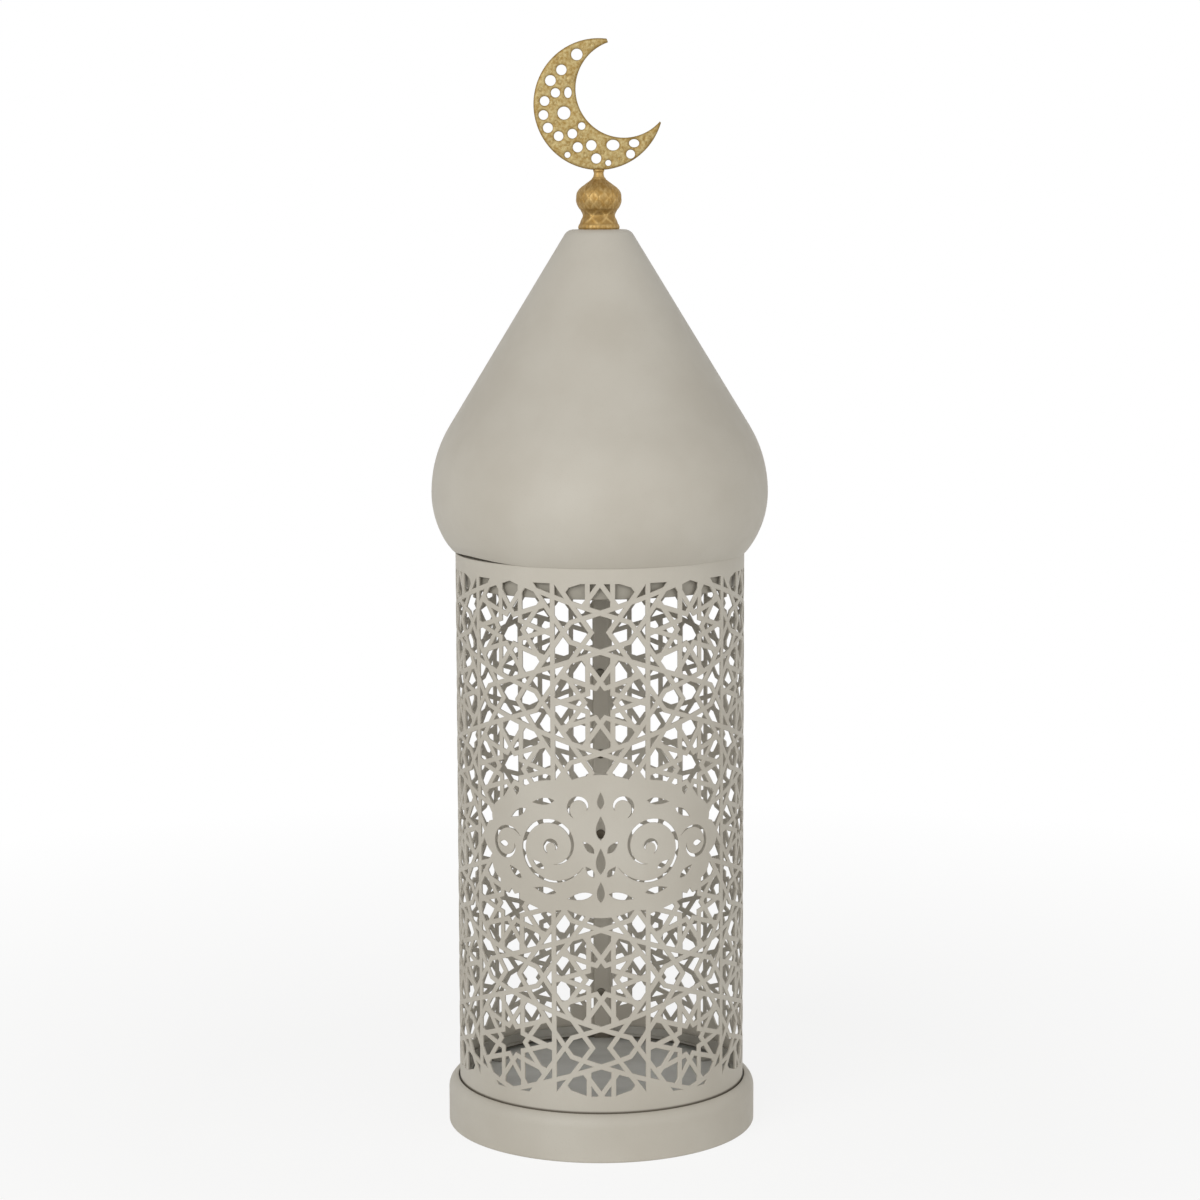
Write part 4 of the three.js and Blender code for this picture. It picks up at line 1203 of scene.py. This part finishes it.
@dataclass
class CastFinial:
    """The cast ball with leaves in relief, its slotted neck, and the stud that clamps it."""

    # radius in millimetres, and height as a share of the whole
    profile: tuple[Point, ...] = (
        (11.0, 0.0), (11.2, 0.05), (10.3, 0.13), (8.9, 0.24), (8.9, 0.3), (10.9, 0.41),
        (12.1, 0.51), (12.4, 0.6), (11.8, 0.71), (9.9, 0.8), (6.9, 0.88), (4.2, 0.95), (3.2, 1.0))
    leaves: int = 14
    leaf_rows: int = 5
    leaf_foot: float = 0.38
    leaf_tip: float = 0.96
    leaf_relief: float = 0.5
    level: float = 0.55  # the relief that leaves the profile where it is
    waist: Point = (0.1, 0.38)
    strap_width: float = 0.12
    vein_width: float = 0.06
    pole: float = 3.3  # inside this radius the ball is plain
    pole_relief: float = 0.6
    neck_relief: float = 0.75
    steps: int = 240

    def relief(self, share: float, bearing: float) -> float:
        """Returns the height of the casting's relief, from 0 to 1.

        Reeding runs round the foot, crossed straps round the waist, and rows of leaves
        round the ball, each leaf with a vein.

        Args:
            share: height up the finial, from 0 to 1.
            bearing: angle round it, in radians.

        Returns:
            The relief's height.
        """
        turn = bearing * self.leaves / (2 * math.pi)
        rise = (share - self.leaf_foot) / (self.leaf_tip - self.leaf_foot) * self.leaf_rows
        if share <= self.waist[0]:
            return 0.5 + 0.3 * abs(math.cos(bearing * self.leaves))
        if rise < 0:
            up = (share - self.waist[0]) / (self.waist[1] - self.waist[0])
            fade = math.sin(math.pi * min(1.0, up)) ** 0.5
            crossings = [(turn / 2 + way * up + 0.5) % 1 - 0.5 for way in (1, -1)]
            strap = max(math.exp(-(cross / self.strap_width) ** 2) for cross in crossings)
            return min(1.0, 0.3 + 0.6 * fade * strap)
        row = math.floor(rise)
        up = rise - row
        across = abs((turn + 0.5 * (row % 2)) % 1 - 0.5)
        inside = 1 - up - (2 * across) ** 1.6
        if inside < 0:
            return 0.3 + 0.2 * up
        vein = 0.25 * math.exp(-(across / self.vein_width) ** 2)
        return min(1.0, 0.9 - 0.4 * inside - vein)

    def build(self) -> None:
        """Builds the ball, the neck and the fastenings inside the dome."""
        low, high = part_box("finial_ball")
        height = (high.z - low.z) / MM
        foot = low.z / MM
        line = [(r, foot + share * height) for r, share in smooth_line(self.profile, 7)]
        bm = turned([(0, foot), *line, (0, foot + height)], self.steps, closed=False)
        bm.normal_update()
        layer = bm.verts.layers.float.new(RELIEF)
        for vert in bm.verts:
            out = vert.co.xy.length
            if out < self.pole * MM:
                vert[layer] = self.pole_relief
                continue
            share = (vert.co.z - low.z) / (high.z - low.z)
            lift = self.relief(share, math.atan2(vert.co.x, -vert.co.y))
            vert[layer] = lift
            grown = min(out + self.leaf_relief * (lift - self.level) * MM, high.x)
            vert.co.x *= grown / out
            vert.co.y *= grown / out
        finish_piece(bm, "ball_finial", GILT, Slot.BRASS, Body.LID, ["finial_ball"], CAST_ANGLE)
        self.neck()
        for node in ("stud_washer", "stud_nut", "finial_stud"):
            soften(node, ZINC, Slot.ZINC, FASTENER_EASE)

    def neck(self) -> None:
        """Builds the neck that the crescent's tang is brazed into."""
        low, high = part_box("crescent_socket")
        foot, top = low.z / MM, high.z / MM
        line = smooth_line([(3.2, foot), (2.8, foot + 1.2), (2.7, top - 1.6), (3.1, top - 0.6),
                            (2.9, top)], 6)
        bm = turned([(0, foot), *line, (0, top)], 64, closed=False)
        layer = bm.verts.layers.float.new(RELIEF)
        for vert in bm.verts:
            vert[layer] = self.neck_relief
        finish_piece(bm, "finial_neck", GILT, Slot.BRASS, Body.LID, ["crescent_socket"],
                     CAST_ANGLE)


@dataclass
class PiercedCrescent:
    """The crescent: a cast plate pierced by round holes, with small bosses between them.

    Its x runs to the right and its z up, from the middle of its outer circle.
    """

    radius: float = 35.4
    bite_radius: float = 26.3
    bite: Point = (13.8, 8.3)
    tips: Point = (1.5, 0.35)  # widths of the blunt upper and lower tip
    plate: float = 1.7
    grid: float = 0.7
    bead: float = 0.32
    level: float = 0.5  # the relief that leaves the face where it is
    rounding: float = 0.35
    tang_width: float = 4.4
    tang_plate: float = 1.5
    tang_over: float = 1.2
    tang_ease: float = 0.3
    tang_relief: float = 0.6
    # x, z, half width and half height of each hole
    holes: tuple[tuple[float, float, float, float], ...] = (
        (-11.7, 26.7, 3.1, 3.1), (-20.1, 18.5, 2.8, 2.8), (-26.1, 12.8, 2.9, 2.9),
        (-23.4, 6.2, 2.5, 2.5), (-16.6, 6.3, 2, 2.9), (-29.3, 1.8, 2.6, 2.6),
        (-30, -5.7, 2.6, 2.6), (-18.8, -4.7, 3.5, 3.5), (-27.6, -12.6, 2.7, 2.7),
        (-21.8, -17.1, 2.6, 2.6), (-14.3, -15.8, 2.6, 2.6), (-9.2, -11.7, 2, 2),
        (-11.4, -23.1, 2.7, 2.7), (-4, -22.1, 2.8, 2.8), (-17, -27.2, 1.6, 1.6),
        (-1.3, -29.2, 2.7, 2.7), (7.8, -22, 3.5, 2.9), (5.2, -31.6, 1.6, 1.6),
        (19.3, -21, 2.8, 2.2), (17.4, -26.9, 2.4, 2.4))
    # x, z and radius of each boss
    bosses: tuple[Spot, ...] = (
        (-15.3, 13.7, 2.2), (26.6, -18.7, 1.9), (11.4, -29.8, 1.3), (-3.3, 31.6, 1.2),
        (-22.6, 25.0, 1.1), (-31.5, 8.0, 1.0), (-25.4, -20.2, 1.0), (-7.2, -27.6, 1.1),
        (12.6, -24.6, 1.1), (-16.4, -21.2, 0.9), (-23.2, -9.6, 0.9), (-23.6, 0.6, 0.9),
        (-21.0, 11.8, 0.9), (-9.6, -17.4, 0.9), (2.2, -25.8, 0.9))

    def to_edge(self, x: float, z: float) -> float:
        """Returns how far a point lies inside the crescent's outline."""
        from_bite = math.hypot(x - self.bite[0], z - self.bite[1]) - self.bite_radius
        return min(self.radius - math.hypot(x, z), from_bite)

    def past_hole(self, x: float, z: float) -> float:
        """Returns how far a point lies outside the nearest hole."""
        return min((math.hypot((x - a) / w, (z - b) / h) - 1) * min(w, h)
                   for a, b, w, h in self.holes)

    def outline(self) -> Outline:
        """Draws the crescent's edge, drawn in by its rounding.

        Returns:
            The outer arc from the upper tip to the lower, and the bite's arc back.
        """
        radius, bite = self.radius - self.rounding, self.bite_radius + self.rounding
        away, lean = math.hypot(*self.bite), math.degrees(math.atan2(self.bite[1], self.bite[0]))
        ends = []
        for sign, tip in zip((1, -1), self.tips):
            half = math.acos((radius ** 2 + away ** 2 - (bite + tip) ** 2) / (2 * radius * away))
            ends.append(lean + sign * math.degrees(half))
        seen = []
        for end in ends:
            x, z = polar(radius, end)
            seen.append(math.degrees(math.atan2(z - self.bite[1], x - self.bite[0])))
        outer = arc(0, 0, radius, radius, ends[0], ends[1] + 360, 150)
        return outer + arc(*self.bite, bite, bite, seen[1], seen[0] - 360, 110)

    def build(self) -> None:
        """Cuts the plate, rounds its edges and raises its relief."""
        rings = [self.outline()]
        for x, z, width, height in self.holes:
            wide, high = width + self.rounding, height + self.rounding
            rings.append(arc(x, z, wide, high, 0, 360, 24)[:-1])
        bm = face_with_holes(rings, [], self.grid_points(), lambda owners: owners == {0})
        layer = bm.verts.layers.float.new(RELIEF)
        for vert in bm.verts:
            vert[layer] = self.relief(vert.co.x, vert.co.y)
        thicken(bm, self.plate, self.rounding, 3)
        self.raise_relief(bm, layer)
        self.stand_up(bm)
        self.tang(bm, layer)
        finish_piece(bm, "pierced_crescent", PALE_GILT, Slot.BRASS, Body.LID, ["crescent"],
                     CAST_ANGLE)

    def grid_points(self) -> Outline:
        """Lays a grid of points over the plate, so that its face can carry the relief.

        Returns:
            The points that keep clear of the plate's edge and its holes.
        """
        step_up = self.grid * math.sqrt(3) / 2
        rows, columns = int(2 * self.radius / step_up) + 1, int(2 * self.radius / self.grid) + 1
        nearest = self.rounding + self.grid / 2
        found = []
        for j in range(rows):
            for i in range(columns):
                x = -self.radius + (i + j % 2 / 2) * self.grid
                z = -self.radius + j * step_up
                if self.to_edge(x, z) > nearest and self.past_hole(x, z) > nearest:
                    found.append((x, z))
        return found

    def relief(self, x: float, z: float) -> float:
        """Works out the relief: it sinks at the edge and round each hole and boss.

        Args:
            x: the point's place across.
            z: the point's place up.

        Returns:
            The relief's height, from 0 to 1.
        """
        edge, hole = self.to_edge(x, z), self.past_hole(x, z)
        at_edge = 0.6 * math.exp(-((edge - 0.2) / 0.7) ** 2)
        at_hole = 0.45 * math.exp(-((hole - 0.1) / 0.6) ** 2)
        height = 0.8 - at_edge - at_hole
        for a, b, size in self.bosses:
            away = math.hypot(x - a, z - b)
            if away < size + 1.5:
                ditch = 0.4 * math.exp(-((away - size) / 0.4) ** 2)
                height += 0.3 * ease(1 - away / size) - ditch
        return min(1.0, max(0.0, height))

    def raise_relief(self, bm: bmesh.types.BMesh, layer: bmesh.types.BMLayerItem) -> None:
        """Raises both faces of the plate by the relief.

        Args:
            bm: the flat plate, in millimetres.
            layer: the relief at its corners.
        """
        for vert in bm.verts:
            lift = (vert[layer] - self.level) * self.bead
            if vert.co.z > -self.rounding / 2:
                vert.co.z += lift
            elif vert.co.z < -self.plate + self.rounding / 2:
                vert.co.z -= lift

    def stand_up(self, bm: bmesh.types.BMesh) -> None:
        """Turns the flat plate upright and sets it at its place over the neck.

        Args:
            bm: the flat plate, in millimetres, which ends in metres.
        """
        centre_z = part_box("crescent")[1].z / MM - self.radius
        for vert in bm.verts:
            x, up, out = vert.co
            vert.co = Vector((x, -(out + self.plate / 2), up + centre_z)) * MM

    def tang(self, bm: bmesh.types.BMesh, layer: bmesh.types.BMLayerItem) -> None:
        """Adds the tang that runs down into the neck.

        Args:
            bm: the crescent, in metres.
            layer: the relief at its corners.
        """
        low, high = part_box("crescent")
        foot, top = low.z, high.z - 2 * self.radius * MM + self.tang_over * MM
        made = bmesh.ops.create_cube(bm, size=1)["verts"]
        size = (self.tang_width * MM, self.tang_plate * MM, top - foot)
        bmesh.ops.scale(bm, verts=made, vec=size)
        bmesh.ops.translate(bm, verts=made, vec=(0, 0, (top + foot) / 2))
        for vert in made:
            vert[layer] = self.tang_relief
        edges = {e for v in made for e in v.link_edges}
        bmesh.ops.bevel(bm, geom=list(edges), offset=self.tang_ease * MM, segments=2, profile=0.5,
                        affect="EDGES", material=-1)


# The studio


@dataclass
class Studio:
    """Camera, soft lights, pale floor and white surroundings. Its sizes are in metres."""

    camera_y: float = -1.6736
    camera_z: float = 0.5212
    pitch: float = 7.667
    roll: float = -0.17
    lens: float = 91.17  # millimetres, as is the sensor
    sensor: float = 36.0
    aim: Spot = (0, 0, 0.3)
    key_place: Spot = (-1.0, -1.7, 1.1)
    key_size: float = 1.3
    key_power: float = 19.5
    fill_place: Spot = (1.4, -1.1, 0.6)
    fill_size: float = 1.6
    fill_power: float = 9.0
    sky: float = 0.37
    sky_colour: str = "FBFAF7"
    floor_colour: str = "F4F3F0"
    floor_glow: float = 0.84
    floor_fade: Point = (0.25, 0.9)
    floor_radius: float = 6.0

    def build(self) -> None:
        """Builds the camera first, then the lights and the floor."""
        self.camera()
        self.world()
        self.lamp("key_light", self.key_place, self.key_size, self.key_power)
        self.lamp("fill_light", self.fill_place, self.fill_size, self.fill_power)
        self.floor()
        bpy.context.scene.view_settings.view_transform = "Standard"

    def camera(self) -> None:
        """Sets the camera at the photograph's place and angle."""
        data = bpy.data.cameras.new("camera")
        data.lens = self.lens
        data.sensor_width = self.sensor
        camera = add_object("camera", data)
        tilt = Matrix.Rotation(math.radians(90 - self.pitch), 4, "X")
        camera.matrix_world = (Matrix.Translation((0, self.camera_y, self.camera_z)) @ tilt
                               @ Matrix.Rotation(math.radians(self.roll), 4, "Z"))
        bpy.context.scene.camera = camera

    def lamp(self, name: str, place: Spot, size: float, power: float) -> None:
        """Adds one soft square lamp that points at the lantern.

        Args:
            name: the lamp's name.
            place: where it stands.
            size: the length of its sides.
            power: its power, in watts.
        """
        data = bpy.data.lights.new(name, "AREA")
        data.size = size
        data.energy = power
        lamp = add_object(name, data)
        lamp.location = place
        lamp.rotation_euler = (Vector(self.aim) - Vector(place)).to_track_quat("-Z", "Y").to_euler()

    @staticmethod
    def seen(tree: bpy.types.NodeTree) -> bpy.types.NodeSocket:
        """Adds a test for rays that end at the eye, straight or by way of gloss or glass.

        Args:
            tree: the node tree.

        Returns:
            1 for those rays and 0 for others.
        """
        path = add_node(tree, "ShaderNodeLightPath")
        gloss = add_node(tree, "ShaderNodeMath", {
            0: path.outputs["Is Camera Ray"], 1: path.outputs["Is Glossy Ray"]},
            operation="MAXIMUM")
        glass = add_node(tree, "ShaderNodeMath", {
            0: gloss.outputs[0], 1: path.outputs["Is Transmission Ray"]}, operation="MAXIMUM")
        return glass.outputs[0]

    def world(self) -> None:
        """Makes the surroundings white to look at and softer as a light."""
        world = bpy.data.worlds.new("studio")
        bpy.context.scene.world = world
        world.use_nodes = True
        tree = world.node_tree
        tree.nodes.clear()
        white = add_node(tree, "ShaderNodeBackground", {"Color": (1, 1, 1, 1), "Strength": 1.0})
        soft = add_node(tree, "ShaderNodeBackground", {
            "Color": linear(self.sky_colour), "Strength": self.sky})
        mix = add_node(tree, "ShaderNodeMixShader", {
            0: self.seen(tree), 1: soft.outputs[0], 2: white.outputs[0]})
        add_node(tree, "ShaderNodeOutputWorld", {"Surface": mix.outputs[0]})

    def floor(self) -> None:
        """Adds the pale floor, which keeps the lantern's shadow and fades to white far off."""
        bm = bmesh.new()
        bmesh.ops.create_circle(bm, cap_ends=True, segments=96, radius=self.floor_radius)
        floor = mesh_object(bm, "floor")
        material = bpy.data.materials.new("pale_floor")
        material.use_nodes = True
        tree = material.node_tree
        tree.nodes.clear()
        place = add_node(tree, "ShaderNodeTexCoord").outputs["Object"]
        away = add_node(tree, "ShaderNodeVectorMath", {0: place}, operation="LENGTH")
        fade = Finish.spread(tree, away.outputs["Value"], *self.floor_fade, self.floor_glow, 1.0)
        glow = add_node(tree, "ShaderNodeMath", {0: fade, 1: self.seen(tree)},
                        operation="MULTIPLY")
        matte = add_node(tree, "ShaderNodeBsdfDiffuse", {"Color": linear(self.floor_colour)})
        white = add_node(tree, "ShaderNodeEmission", {"Color": (1, 1, 1, 1), "Strength": 1.0})
        mix = add_node(tree, "ShaderNodeMixShader", {
            0: glow.outputs[0], 1: matte.outputs[0], 2: white.outputs[0]})
        add_node(tree, "ShaderNodeOutputMaterial", {"Surface": mix.outputs[0]})
        floor.data.materials.append(material)


def main() -> None:
    """Builds the studio and the lantern."""
    logging.basicConfig(level=logging.INFO, format="%(name)s: %(message)s")
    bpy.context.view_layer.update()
    Studio().build()
    DrumBase().build()
    StarLattice().build()
    OnionDome().build()
    CastFinial().build()
    PiercedCrescent().build()


if __name__ == "__main__":
    main()
